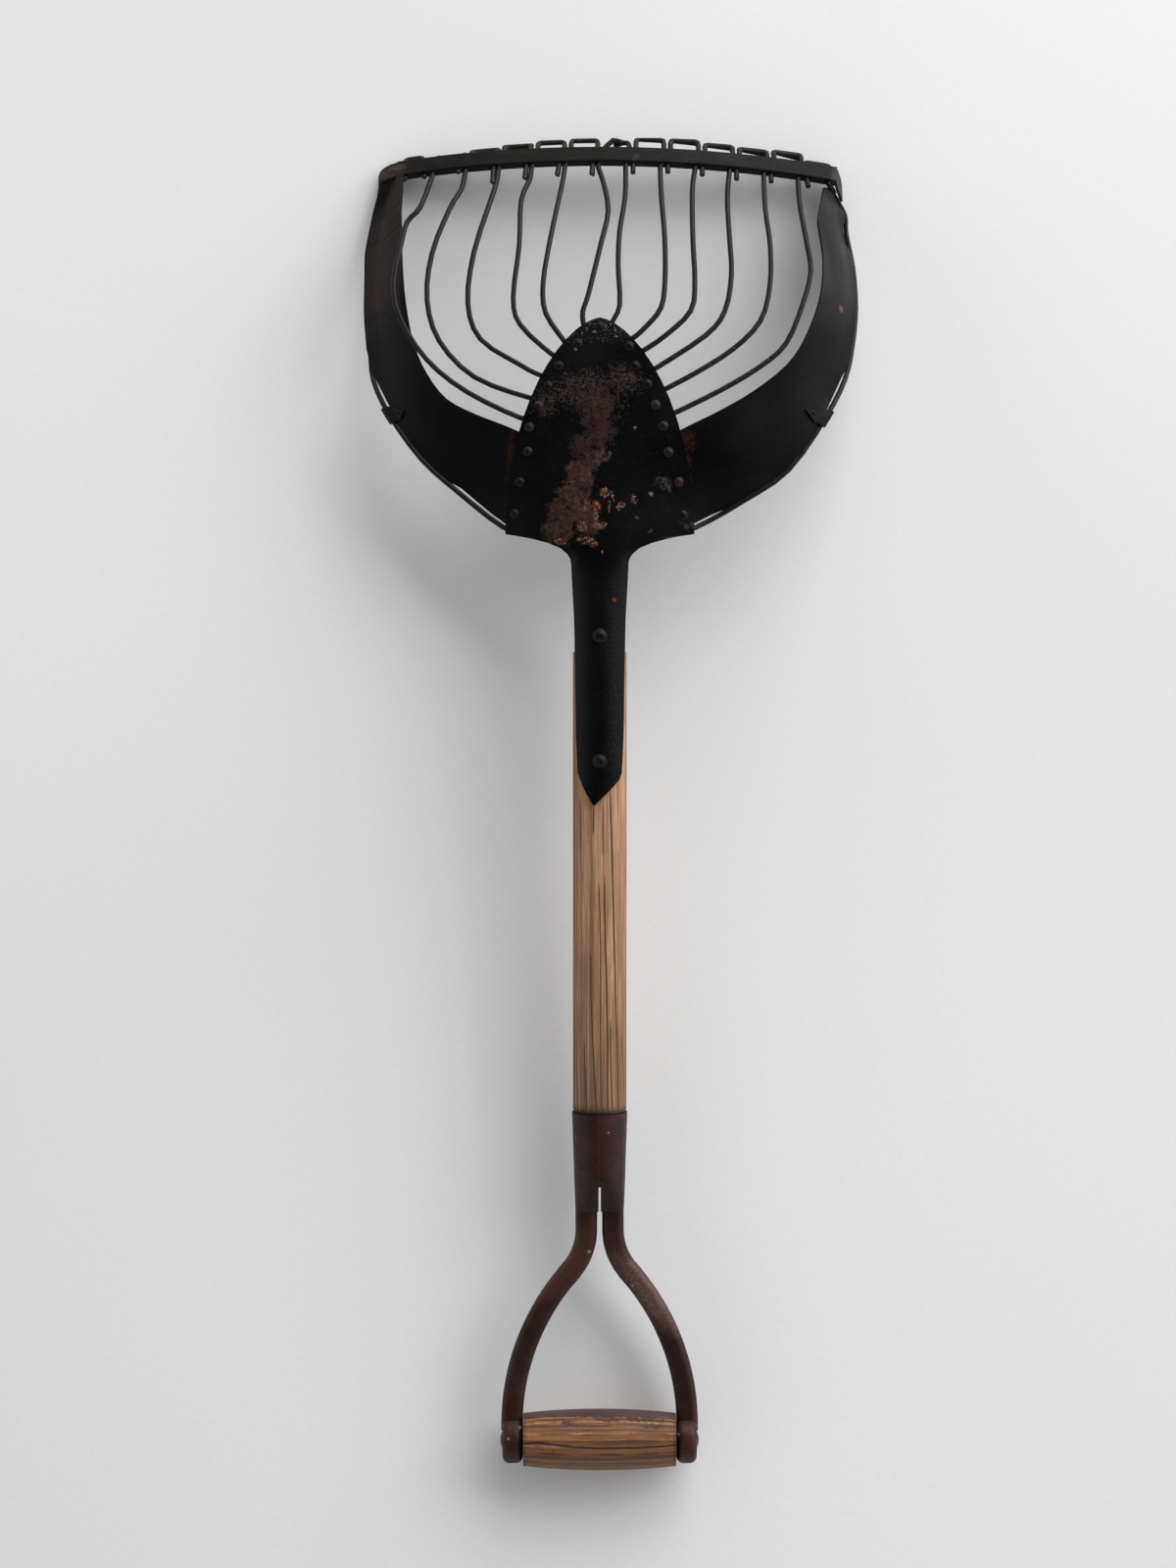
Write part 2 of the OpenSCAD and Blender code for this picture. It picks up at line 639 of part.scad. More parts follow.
// The folded ends: from the bar out, down and back, as pairs of [x, y, height above the floor]
tab_left = [
    [[-149.5, 281.5, 13.5], [-150.5, 291.5, 8]], [[-154.3, 279.6, 11], [-156, 288.8, 6]],
    [[-157.9, 277.6, 8], [-158.9, 285.8, 4]], [[-159.6, 276, 5.4], [-159.8, 282.8, 2.4]]
];
tab_right = [
    [[170.6, 289, 10], [170.2, 277.4, 15.5]], [[172.6, 285.5, 7], [172, 272.5, 12]],
    [[174.3, 281, 5.2], [173.8, 268.5, 9.5]], [[175.2, 276, 3.5], [175.3, 265, 6.5]]
];
function above_floor(p) = [p[0], p[1], p[2] - neck_height];

module tab(side, pairs) {
    inset = 2;
    start = [for (f = [side, -side])
        bar_point(side * (bar_half - inset), f * (bar_w / 2 - 1), bar_t / 2 - 0.3)];
    stations = concat([start], [for (pair = pairs) [for (q = pair) above_floor(q) + [0, plan_shift, 0]]]);
    sheet(smooth_path(stations, 2), tab_t);
}

module front_bar() {
    bar_soft = 1.2;
    spread = asin(bar_half / bow_r);
    color(black_iron) in_head() difference() {
        union() {
            translate(bar_middle)
                rotate([0, 0, -bar_yaw]) rotate([0, -bar_roll, 0]) rotate([bar_bow_angle, 0, 0])
                translate([0, -bow_r, 0]) rotate([0, 0, 90 - spread])
                    rotate_extrude(angle = 2 * spread, $fn = 720)
                        translate([bow_r, 0]) rotate(-bar_twist) soft_rect(bar_w, bar_t, bar_soft);
            tab(-1, tab_left);
            tab(1, tab_right);
        }
        for (hole = bar_holes)
            on_normal(bar_point(hole[0], 0), unit(bar_point(hole[0], 1, 0, hole[1]) - bar_point(hole[0], 0)))
                cylinder(d = tine_dia + 2 * hole_play, h = 2 * bar_w, center = true);
    }
}

// The loops over the bar: dip below the hole's direction, and length of the cut stub behind the bar
loop_dips = [54, 46, 50, 20, 8, 0, 0, 6, 14, 28, 40, 36];
stub_lengths = [2, 14, 12, 10, 10, 0, 0, 8, 6.5, 7, 8, 7];
mouth_run = 1;
mouth_slack = 0.4;
mouth_depth = 0.3;
stub_splay = 1.2;
loop_corner = 2.8;
loop_flat = 0.2;

// From the stub's end, through the bar, round the loop, to the mouth of the wire's own hole
function loop_path(own_x, stub_x, own_slant, stub_slant, dip, reach, stub_run) =
    let (
        front = bar_w / 2 + mouth_run,
        rear = -bar_w / 2,
        splay = stub_x > own_x ? -stub_splay : stub_splay,
        out = bar_forward(own_x) * cos(dip) - bar_up(own_x) * sin(dip),
        a = bar_place(stub_x, front, 0, stub_slant),
        b = bar_place(own_x, front, 0, own_slant),
        across = unit(b - a),
        r = min(loop_corner, norm(b - a) / 2 - loop_flat, reach - mouth_run),
        run = reach - mouth_run - r,
        turn = [0, 30, 60, 90]
    )
    concat(
        [
            bar_place(stub_x, rear - stub_run, 0, stub_slant) + [splay, 0, 0],
            bar_place(stub_x, rear, 0, stub_slant),
            bar_place(stub_x, bar_w / 2 + mouth_depth, 0, stub_slant),
            a + out * mouth_slack
        ],
        [for (t = turn) a + out * (run + r * sin(t)) + across * r * (1 - cos(t))],
        [for (t = turn) b + out * (run + r * cos(t)) - across * r * (1 - sin(t))],
        [
            b + out * mouth_slack,
            bar_place(own_x, bar_w / 2 + mouth_depth, 0, own_slant), bar_place(own_x, rear, 0, own_slant)
        ]
    );

// The two middle wires are hooked over the bar and twisted round each other
twist_forward = bar_w / 2 + 6.2;
twist_up = -0.5;
twist_gap = 0.3;
twist_r = (tine_dia + twist_gap) / 2;
twist_phase = 90;
twist_per_mm = 9;
function twist_point(x, phase) =
    let (turned = twist_phase + x * twist_per_mm + phase)
    bar_place(x, twist_forward + twist_r * cos(turned), twist_up + twist_r * sin(turned));
twisted_left = [
    twist_point(3.7, 0), twist_point(1.5, 0), twist_point(-0.8, 0), twist_point(-3, 0),
    bar_place(-5.2, bar_w / 2 + 4.8, 1), bar_place(-7.2, bar_w / 2 + 2.8, 0.6),
    bar_place(tine_x(5) + 1.9, bar_w / 2 + 0.8), bar_place(tine_x(5), -bar_w / 2, 0, slant_left)
];
twisted_right = [
    twist_point(-2.5, 180), twist_point(-0.3, 180), twist_point(2, 180), twist_point(4.4, 180),
    bar_place(6.8, bar_w / 2 + 7.2, -1.8), bar_place(8.4, bar_w / 2 + 5.4, -1.3),
    bar_place(8.8, bar_w / 2 + 3, -0.5), bar_place(tine_x(6) + 0.9, bar_w / 2 + 0.5),
    bar_place(tine_x(6), -bar_w / 2, 0, slant_right)
];

// Each tine seen from above, from behind the bar to its end between the plates
tine_plans = [
    [
        [-128, 257], [-137, 246], [-141, 230], [-146, 200], [-141, 174], [-122, 144],
        [-94, 121], [-56, 102], [-40, 100]
    ],
    [[-99, 270], [-107, 255], [-119, 221], [-122, 187], [-113, 157], [-88, 131], [-49, 116], [-32, 115]],
    [[-75, 270], [-89, 222], [-93, 184], [-84, 158], [-57, 140], [-42, 132], [-27, 129]],
    [[-50, 277], [-56, 260], [-57, 226], [-61, 188], [-56, 168], [-34, 147], [-26, 144]],
    [[-27, 272], [-35, 231], [-40, 198], [-38, 176], [-25, 156], [-20, 148]],
    [[3, 273], [6, 252], [1, 228], [-8, 190], [-12, 177], [-11, 166], [-7, 153]],
    [[18, 262], [14, 236], [13, 210], [14, 182], [8, 168], [5, 154]],
    [[44, 262], [46, 232], [46, 200], [43, 180], [33, 167], [23, 158], [14, 155]],
    [[66, 267], [66, 230], [67, 200], [64, 178], [46, 160], [30, 149], [20, 144]],
    [[91, 262], [92, 232], [93, 205], [88, 178], [74, 160], [38, 136], [25, 128]],
    [[118, 255], [121, 225], [120, 196], [113, 171], [94, 151], [68, 134], [44, 121], [29, 113]],
    [[143, 258], [147, 230], [149.5, 208], [143, 183], [131, 155], [112, 138], [84, 121], [50, 104], [34, 97]]
];
mouth_blend = 30;

// The wire's height follows the crown, and meets its hole at the bar
function tine_run(i) =
    let (
        mouth = bar_point(tine_x(i), -bar_w / 2, 0, tine_slant(i)),
        behind = bar_point(tine_x(i), -bar_w / 2 - 3, 0, tine_slant(i)),
        drawn = [for (q = tine_plans[i]) [q[0], reached(q[1])]],
        plan = smooth_path(concat([[mouth[0], mouth[1]], [behind[0], behind[1]]], drawn), 3),
        lift = mouth[2] - (crown(mouth[0], mouth[1]) - wire_seat)
    )
    [for (k = [1:len(plan) - 1])
        let (q = plan[k])
        [q[0], q[1], crown(q[0], q[1]) - wire_seat + lift * ramp(q[1], mouth[1] - mouth_blend, mouth[1])]];

module tine(i) {
    head_end =
        i == half_count - 1 ? twisted_left :
        i == half_count ? twisted_right :
        loop_path(
            tine_x(i), stub_x(i), tine_slant(i), tine_slant(i), loop_dips[i], loop_reach, stub_lengths[i]
        );
    color(wire_iron) in_head() wire(concat([for (q = head_end) in_bar(q)], tine_run(i)), tine_dia);
}

// The plans of wires and wings are drawn for a mouth at plan_reach, and stretch with the bar's reach
plan_reach = 294.5;
plan_base = 150;
plan_shift = bar_reach - plan_reach;
function reached(y) =
    y <= plan_base ? y : y + plan_shift * (y - plan_base) / (plan_reach - plan_base);
function reached_station(st) = [st[0], reached(st[1]), st[2], st[3], reached(st[4]), st[5], st[6], st[7]];

// Stations along each wing, from the mouth back: rim rod x, y and height above the floor, inner edge
// x and y, depth of that edge below the crown, share lapped under the plate, gap between edge and rod
left_plan = [
    [-155.5, 271, 2, -144.5, 276, 11, 0, 0], [-162, 248, 4.5, -142, 244, 5, 0, 0],
    [-167, 215, 9, -141, 216, 5, 0, 0], [-167, 185, 17, -138, 185, 5, 0, 0],
    [-164, 155, 28, -132, 156, 5, 0, 0], [-161, 132, 38, -122, 134, 3, 0, 1],
    [-149, 106.5, 49, -108, 116, 1, 0, 1.2], [-126, 74.5, 57, -88, 105, 0.3, 0, 0],
    [-99.5, 50.5, 62, -68, 97, 0.3, 0, 1.2], [-68, 26, 62, -54, 91, 0.3, 1, 0.6],
    [-54, 22, 62, -42, 87, 0.3, 1, 0]
];
right_plan = [
    [169, 270, 4.5, 161.5, 274, 7.5, 0, 0], [174, 262.5, 2.2, 159, 263, 4, 0, 0.2],
    [177.6, 254, 2.4, 157, 253, 2, 0, 2], [178, 242, 4, 156, 244, 0.3, 0, 2],
    [182.5, 217, 9, 159, 216, 0.3, 0, 0.3], [184, 187, 17, 156, 188, 0.3, 0, 0],
    [181, 160, 26, 145.5, 160, 0.3, 0, 0], [175, 134, 37, 132, 140, 0.3, 0, 1],
    [160, 104.5, 50, 108, 121, 0.3, 0, 1.2], [133, 66.5, 58, 84, 107, 0.3, 0, 0],
    [102, 45, 62, 66, 98, 0.3, 0, 0.8], [68, 26, 62, 54, 92, 0.3, 1, 0.6], [54, 22, 62, 42, 87, 0.3, 1, 0]
];
left_stations = [for (st = left_plan) reached_station(st)];
right_stations = [for (st = right_plan) reached_station(st)];
left_front = [[-144.8, 279.2, 12], [-150, 278, 7], [-154.6, 275.5, 2.8]];
right_front = [[166.2, 274, 12.8], [168.4, 272.4, 8.6]];
// Each rod's loop over the bar: dip, reach and length of its cut stub
rod_loop_left = [30, 4, 2.5];
rod_loop_right = [45, 7, 7];
station_steps = 3;
lap_depth = 0.3;
full_belly_chord = 45;

// Where the handle and the head stand: the middle of the whole tool is at X = 0 and Y = 0
reach_left = min([for (st = smooth_path(left_stations, station_steps)) st[0]]) - rim_dia / 2;
reach_right = max([for (st = smooth_path(right_stations, station_steps)) st[0]]) + rim_dia / 2;
reach_front = max([for (q = twisted_left) in_bar(q)[1]]) + tine_dia / 2;
shaft_x = -(reach_left + reach_right) / 2;
shaft_run = handle_reach * cos(shaft_rise);
whole_length = grip_z + shaft_run + reach_front;
grip_y = grip_z - whole_length / 2;
neck = [shaft_x, grip_y + shaft_run, neck_height];

module in_handle() {
    translate([shaft_x, grip_y, grip_z]) rotate([shaft_rise, 0, 0]) children();
}

module in_head() {
    translate(neck) children();
}

function lap_of(st) = min(1, max(0, st[6]));
function rim_centre(st) =
    [st[0], st[1], (1 - lap_of(st)) * (st[2] - neck_height) + lap_of(st) * (crown(st[0], st[1]) - wire_seat)];
function wing_inner(st) = [st[3], st[4], crown(st[3], st[4]) - st[5]];
function wing_chord(st) = unit(wing_inner(st) - rim_centre(st));
function wing_start(st) = rim_dia / 2 + rim_gap + st[7];

// A point of a wing's outer face at the share s of its width, rise above it
function wing_at(st, s, rise = 0) =
    let (
        c = rim_centre(st),
        along = wing_chord(st),
        edge = c + along * wing_start(st),
        across = wing_inner(st) - edge,
        belly = wing_belly * min(1, norm(across) / full_belly_chord),
        p = edge + across * s + square_to([0, 0, 1], along) * (belly * 4 * s * (1 - s) + rise)
    )
    [p[0], p[1], (1 - lap_of(st)) * p[2] + lap_of(st) * (crown(p[0], p[1]) - lap_depth + rise)];

// The station at any place between the listed ones
function station_at(list, u) =
    let (last = len(list) - 1, i = min(last - 1, floor(u)))
    blend4(list[max(0, i - 1)], list[i], list[i + 1], list[min(last, i + 2)], u - i);

wing_cols = 6;
module wing(list, is_left_side) {
    shares = [for (c = [0:wing_cols]) is_left_side ? 1 - c / wing_cols : c / wing_cols];
    color(black_iron) difference() {
        in_head()
            sheet([for (st = smooth_path(list, station_steps)) [for (s = shares) wing_at(st, s)]], wing_t);
        rivet_holes(wing_rivet_limit);
        clip_rivet_hole(is_left_side ? left_clip : right_clip);
    }
}

module rim_rod(list, front_points, own_x, other_x, other_slant, loop) {
    at_bar = [for (q = loop_path(own_x, other_x, 0, other_slant, loop[0], loop[1], loop[2])) in_bar(q)];
    near = concat(
        [bar_point(own_x, -bar_w / 2), bar_point(own_x, -bar_w / 2 - 1.5)],
        [for (q = front_points) above_floor(q) + [0, plan_shift, 0]], [rim_centre(list[0])]
    );
    bent = smooth_path(near, station_steps);
    front_run = [for (k = [1:len(bent) - 2]) bent[k]];
    edge_run = [for (st = smooth_path(list, station_steps)) rim_centre(st)];
    color(wire_iron) in_head() wire(concat(at_bar, front_run, edge_run), rim_dia);
}

// The clips: stations, place along them, reach of the point, distance of the rivet from the rod's axis
clip_rivet_left = 8.5;
clip_rivet_right = 12;
left_clip = [left_stations, 6, clip_reach_left, clip_rivet_left];
right_clip = [right_stations, 8, clip_reach_right, clip_rivet_right];
clip_turn = [0, 45, 90, 135, 180];
clip_margin = 2.3;
clip_rivet_head = 5.4;
clip_rivet_tail = 4;
clip_rivet_rise = 1.4;

// A place of the wing's outer face at a distance from the rod's axis
function wing_by_distance(st, distance, rise) =
    let (width = norm(wing_inner(st) - rim_centre(st)) - wing_start(st))
    wing_at(st, (distance - wing_start(st)) / width, rise);

// One line of the clip's inner face: point, over the rod, round it and back below the wing
function clip_line(st, reach, lip) =
    let (
        c = rim_centre(st),
        along = wing_chord(st),
        up = square_to([0, 0, 1], along),
        r = rim_dia / 2 + clip_clear,
        flat = wing_start(st) + 1.2
    )
    concat(
        [for (k = [4:-1:0]) wing_by_distance(st, flat + (reach - flat) * k / 4, clip_clear)],
        [for (t = clip_turn) c + up * r * cos(t) - along * r * sin(t)],
        [wing_by_distance(st, flat, -wing_t - clip_clear), wing_by_distance(st, lip, -wing_t - clip_clear)]
    );

module rim_clip(clip, is_left_side) {
    function rod_at(du) = rim_centre(station_at(clip[0], clip[1] + du));
    per_station = norm(rod_at(0.5) - rod_at(-0.5));
    places = is_left_side ? [-4:4] : [4:-1:-4];
    lines = [for (k = places)
        let (
            share = k / 4,
            st = station_at(clip[0], clip[1] + share * clip_w / 2 / per_station),
            narrow = clip[2] - (clip[2] - wing_start(st) - 3) * abs(share)
        )
        clip_line(st, narrow, clip[3] - clip_margin)];
    color(black_iron) difference() {
        in_head() sheet(lines, -clip_t);
        clip_rivet_hole(clip);
    }
}

module on_clip_rivet(clip) {
    step = 0.05;
    function at(du, dd) = wing_by_distance(station_at(clip[0], clip[1] + du), clip[3] + dd, 0);
    n = unit(cross(at(0, step) - at(0, -step), at(step, 0) - at(-step, 0)));
    in_head() on_normal(at(0, 0), n[2] > 0 ? n : -n) children();
}

module clip_rivet_hole(clip) {
    on_clip_rivet(clip) cylinder(d = clip_rivet_dia + 2 * rivet_play, h = 4 * clip_rivet_dia, center = true);
}

module clip_rivets() {
    above = clip_clear + clip_t + 2 * head_seat;
    below = wing_t + 2 * head_seat;
    color(black_iron) for (clip = [left_clip, right_clip]) on_clip_rivet(clip) {
        translate([0, 0, -below]) cylinder(d = clip_rivet_dia, h = above + below);
        translate([0, 0, above]) dome(clip_rivet_head, clip_rivet_rise);
        translate([0, 0, -below]) mirror([0, 0, 1]) dome(clip_rivet_tail, clip_rivet_rise);
    }
}

shaft();
grip();
grip_rod();
handle_yoke();
socket_pin();
outer_plate();
inner_plate();
strap_rivets();
plate_rivets();
wing(left_stations, true);  // wing_left
wing(right_stations, false);  // wing_right
rim_rod(left_stations, left_front, -rim_hole, rim_stub_left, rim_stub_slant, rod_loop_left);  // rim_rod_left
rim_rod(right_stations, right_front, rim_hole, rim_stub_right, 0, rod_loop_right);  // rim_rod_right
rim_clip(left_clip, true);  // rim_clip_left
rim_clip(right_clip, false);  // rim_clip_right
clip_rivets();
front_bar();
tine(0);  // tine_01
tine(1);  // tine_02
tine(2);  // tine_03
tine(3);  // tine_04
tine(4);  // tine_05
tine(5);  // tine_06
tine(6);  // tine_07
tine(7);  // tine_08
tine(8);  // tine_09
tine(9);  // tine_10
tine(10);  // tine_11
tine(11);  // tine_12
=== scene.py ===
import math

import bmesh
import bpy
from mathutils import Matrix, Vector
from mathutils.kdtree import KDTree


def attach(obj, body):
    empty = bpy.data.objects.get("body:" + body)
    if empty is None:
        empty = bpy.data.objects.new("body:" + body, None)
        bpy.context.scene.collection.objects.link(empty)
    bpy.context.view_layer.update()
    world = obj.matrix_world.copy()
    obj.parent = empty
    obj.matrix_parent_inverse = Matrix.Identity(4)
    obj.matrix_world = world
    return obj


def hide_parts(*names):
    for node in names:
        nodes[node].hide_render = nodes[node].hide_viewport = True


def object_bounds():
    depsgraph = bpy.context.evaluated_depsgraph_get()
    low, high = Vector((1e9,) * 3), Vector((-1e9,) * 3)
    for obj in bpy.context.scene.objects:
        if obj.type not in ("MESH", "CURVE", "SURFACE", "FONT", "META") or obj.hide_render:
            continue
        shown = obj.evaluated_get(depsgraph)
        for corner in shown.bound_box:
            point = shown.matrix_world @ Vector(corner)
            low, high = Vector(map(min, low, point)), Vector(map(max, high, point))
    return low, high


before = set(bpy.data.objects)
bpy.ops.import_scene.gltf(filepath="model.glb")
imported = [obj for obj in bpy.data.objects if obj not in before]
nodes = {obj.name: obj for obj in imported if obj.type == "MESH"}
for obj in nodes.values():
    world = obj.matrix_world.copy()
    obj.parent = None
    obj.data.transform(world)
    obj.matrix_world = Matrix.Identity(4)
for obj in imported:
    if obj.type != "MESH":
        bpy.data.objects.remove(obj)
CAD_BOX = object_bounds()

# The camera looks straight down, and places read off the photograph become metres in at()
EYE = Vector((-0.01656, 0.01368, 2.5))
PHOTO_MID = (600, 800)
PX = 0.0007  # one pixel of the photograph in metres, at MID_HEIGHT
MID_HEIGHT = 0.030
PLATE_Z, PLATE_PX = 0.076, 0.00069
SPECK_PX = 0.0006
GRIP_TOP_Z = 0.043

# The handle: the grip's axis, the shaft's rise from it, and the radii used to unroll the wood
SHAFT_X = -0.00826
GRIP_Y = -0.456025
GRIP_Z = 0.02175
RISE = math.radians(3.6865)
SHAFT_R = 0.019
GRIP_R, GRIP_EDGE_R = 0.0205, 0.0208


def at(px, py, z):
    """The place in metres of a photograph pixel at a height."""
    f = PX * (EYE.z - z) / (EYE.z - MID_HEIGHT)
    return ((px - PHOTO_MID[0]) * f + EYE.x, (PHOTO_MID[1] - py) * f + EYE.y, z)


def rgb(r, g, b):
    """A colour in 0 to 255 screen values, as scene values."""
    def lin(v):
        v /= 255
        return v / 12.92 if v <= 0.04045 else ((v + 0.055) / 1.055) ** 2.4
    return (lin(r), lin(g), lin(b), 1.0)


def angle_of(offset, radius):
    """The angle round a rod at which a point stands this far aside, seen from above."""
    return math.asin(max(-0.98, min(0.98, offset / radius)))


def ease(v, lo, hi):
    """0 below lo, 1 above hi, and a smooth step between."""
    t = min(1.0, max(0.0, (v - lo) / (hi - lo)))
    return t * t * (3 - 2 * t)


# ---- node helpers ----
class Graph:
    """One material's node tree."""

    def __init__(self, name):
        self.mat = bpy.data.materials.new(name)
        self.mat.use_nodes = True
        self.tree = self.mat.node_tree
        self.tree.nodes.clear()
        self.out = self.tree.nodes.new("ShaderNodeOutputMaterial")
        self.pos = self.tree.nodes.new("ShaderNodeTexCoord").outputs["Object"]

    def put(self, socket, value):
        if isinstance(value, bpy.types.NodeSocket):
            self.tree.links.new(value, socket)
        else:
            socket.default_value = value

    def node(self, kind, props=None, **inputs):
        """A new node with its properties set and its named inputs set or linked."""
        n = self.tree.nodes.new("ShaderNode" + kind)
        for key, value in (props or {}).items():
            setattr(n, key, value)
        for key, value in inputs.items():
            self.put(n.inputs[key.replace("_", " ")], value)
        return n

    def math(self, op, a, b=0.0, clamp=False):
        n = self.node("Math", {"operation": op, "use_clamp": clamp})
        self.put(n.inputs[0], a)
        self.put(n.inputs[1], b)
        return n.outputs[0]

    def mul(self, a, b):
        return self.math("MULTIPLY", a, b)

    def add(self, a, b, clamp=False):
        return self.math("ADD", a, b, clamp)

    def sub(self, a, b):
        return self.math("SUBTRACT", a, b)

    def size(self, a):
        return self.math("ABSOLUTE", a)

    def any(self, *values):
        out = values[0]
        for v in values[1:]:
            out = self.math("MAXIMUM", out, v)
        return out

    def vec(self, op, a, b=(0, 0, 0)):
        n = self.node("VectorMath", {"operation": op})
        self.put(n.inputs[0], a)
        self.put(n.inputs["Scale" if op == "SCALE" else 1], b)
        return n.outputs["Value" if op == "LENGTH" else 0]

    def split(self, v):
        return self.node("SeparateXYZ", Vector=v).outputs

    def join(self, x, y, z):
        return self.node("CombineXYZ", X=x, Y=y, Z=z).outputs[0]

    def map(self, v, loc=(0, 0, 0), rot=(0, 0, 0), scale=(1, 1, 1), kind="POINT"):
        n = self.node("Mapping", {"vector_type": kind}, Vector=v, Location=loc, Rotation=rot, Scale=scale)
        return n.outputs[0]

    def noise(self, v, scale, detail=3.0, rough=0.5, out="Fac"):
        n = self.node("TexNoise", Vector=v, Scale=scale, Detail=detail, Roughness=rough, Distortion=0.0)
        return n.outputs[out]

    def band(self, across, scale, detail, seed):
        """A noise that only varies across the piece."""
        n = self.node("TexNoise", {"noise_dimensions": "1D"}, W=self.add(across, seed),
                      Scale=scale, Detail=detail, Roughness=0.6)
        return n.outputs["Fac"]

    def lines(self, across, scale, width, seed):
        """Thin parallel lines, 1 on a line: where a noise across the piece passes its middle."""
        off = self.size(self.sub(self.band(across, scale, 1.0, seed), 0.5))
        return self.fade(off, width * 0.5, width, 1.0, 0.0)

    def cells(self, v, scale):
        return self.node("TexVoronoi", Vector=v, Scale=scale).outputs["Distance"]

    def wobble(self, v, scale, amount, detail=2.0):
        """The coordinates moved about by noise, so that edges and lines are irregular."""
        n = self.noise(v, scale, detail, 0.6, "Color")
        return self.vec("ADD", v, self.vec("SCALE", self.vec("SUBTRACT", n, (0.5, 0.5, 0.5)), amount))

    def remap(self, kind, v, lo, hi, a, b):
        n = self.node("MapRange", {"interpolation_type": kind}, Value=v,
                      From_Min=lo, From_Max=hi, To_Min=a, To_Max=b)
        return n.outputs["Result"]

    def fade(self, v, lo, hi, a=0.0, b=1.0):
        return self.remap("SMOOTHSTEP", v, lo, hi, a, b)

    def lerp(self, v, lo, hi, a=0.0, b=1.0):
        return self.remap("LINEAR", v, lo, hi, a, b)

    def ragged(self, shape, noise, lo, hi, reach):
        """A soft shape broken up by noise: full in its middle, speckled at its rim."""
        full = self.lerp(noise, 0.28, 0.72)
        return self.fade(self.add(self.mul(shape, reach), full), lo + 0.5, hi + 0.5)

    def patch(self, v, centre, rx, ry, turn, soft):
        """1 inside an ellipse seen from above, 0 outside."""
        q = self.map(v, centre, (0, 0, math.radians(turn)), (rx, ry, 10.0), "TEXTURE")
        return self.fade(self.vec("LENGTH", q), 1 - soft, 1 + soft, 1.0, 0.0)

    def mix(self, fac, a, b):
        n = self.node("Mix", {"data_type": "RGBA", "clamp_factor": True})
        for k, value in ((0, fac), (6, a), (7, b)):
            self.put(n.inputs[k], value)
        return n.outputs[2]

    def tint(self, under, amount, share, top):
        """The colour under, with a share of the colour top where amount is 1."""
        return self.mix(self.mul(amount, share), under, top)

    def ramp(self, fac, *stops):
        n = self.node("ValToRGB")
        e = n.color_ramp.elements
        while len(e) < len(stops):
            e.new(0.5)
        for k, (p, c) in enumerate(stops):
            e[k].position = p
            e[k].color = c
        self.put(n.inputs[0], fac)
        return n.outputs[0]

    def curve(self, t, points, lo, hi):
        """A line drawn point by point: its value between lo and hi at t."""
        stops = [(u, ((v - lo) / (hi - lo),) * 3 + (1,)) for u, v in points]
        return self.lerp(self.ramp(t, *stops), 0, 1, lo, hi)

    def finish(self, height, strength, distance, **sockets):
        """The shader, with a bump made from the height."""
        bump = self.node("Bump", Strength=strength, Distance=distance, Height=height).outputs[0]
        n = self.node("BsdfPrincipled", Normal=bump, **sockets)
        self.tree.links.new(n.outputs[0], self.out.inputs[0])
        return self.mat


# ---- black paint on sheet iron ----
def paint(name, base, gloss, wear=None, brown=0.25):
    g = Graph(name)
    big = g.noise(g.pos, 22, 4, 0.6)
    fine = g.noise(g.pos, 420, 3, 0.6)
    grain = g.noise(g.pos, 1500, 2, 0.5)
    colour = g.mix(g.fade(big, 0.35, 0.7), base, tuple(1.9 * c for c in base[:3]) + (1,))
    colour = g.mix(g.fade(fine, 0.60, 0.75, 0, brown), colour, rgb(52, 42, 38))
    rough = g.lerp(big, 0.3, 0.7, gloss - 0.06, gloss + 0.1)
    height = g.add(g.mul(fine, 0.35), g.mul(grain, 0.2))
    height = g.add(height, g.mul(g.noise(g.pos, 60, 2, 0.5), 1.0))
    if wear:
        colour, rough, height = wear(g, colour, rough, height)
    return g.finish(height, 0.45, 0.0006, Base_Color=colour, Roughness=rough, Specular_IOR_Level=0.10)


# Patches on the plate: photograph x and y, both radii in pixels, turn in degrees, softness
RUST_BAND = [(600, 390, 42, 15, 0, 0.9), (585, 402, 42, 14, -8, 0.9), (636, 388, 24, 20, 0, 0.9),
             (556, 412, 18, 16, 40, 0.9), (605, 412, 38, 12, 0, 0.9)]
RUST_STREAK = [(610, 418, 20, 30, 0, 0.9), (612, 444, 19, 22, 10, 0.9), (598, 458, 18, 14, -20, 0.9)]
RUST_LOW = [(592, 486, 16, 19, -12, 0.6), (585, 506, 18, 17, -20, 0.6), (577, 523, 19, 17, -25, 0.6),
            (569, 542, 17, 15, -30, 0.6), (594, 524, 16, 15, 0, 0.7), (600, 538, 15, 11, 0, 0.8),
            (606, 468, 14, 9, 20, 0.9)]
FLAKES = [(646.8, 509.8, 4.2, 6.0, 15, 0.45), (633.4, 517, 6.5, 5.0, 35, 0.45), (622, 518, 1.5, 9, 0, 0.45),
          (617, 503.6, 8.0, 6.0, 10, 0.45), (610, 537, 8.5, 5.0, -8, 0.45), (597, 552, 12, 5.0, -6, 0.45),
          (594, 538, 6.0, 7.0, 0, 0.45), (662.9, 542.5, 3.0, 2.0, 0, 0.45), (649, 528.6, 2.6, 2.4, 0, 0.45),
          (616, 537, 4.4, 5.0, 0, 0.45), (571, 553, 9, 5.0, -20, 0.45), (606, 556, 6, 3.0, 0, 0.45),
          (625, 508, 1.6, 7, 12, 0.45), (597, 516, 3.0, 8.0, 0, 0.45), (608, 526, 4, 8, 0, 0.45)]
ORANGE_FLAKE = [(608.5, 516.5, 6.0, 6.5, 0, 0.6)]
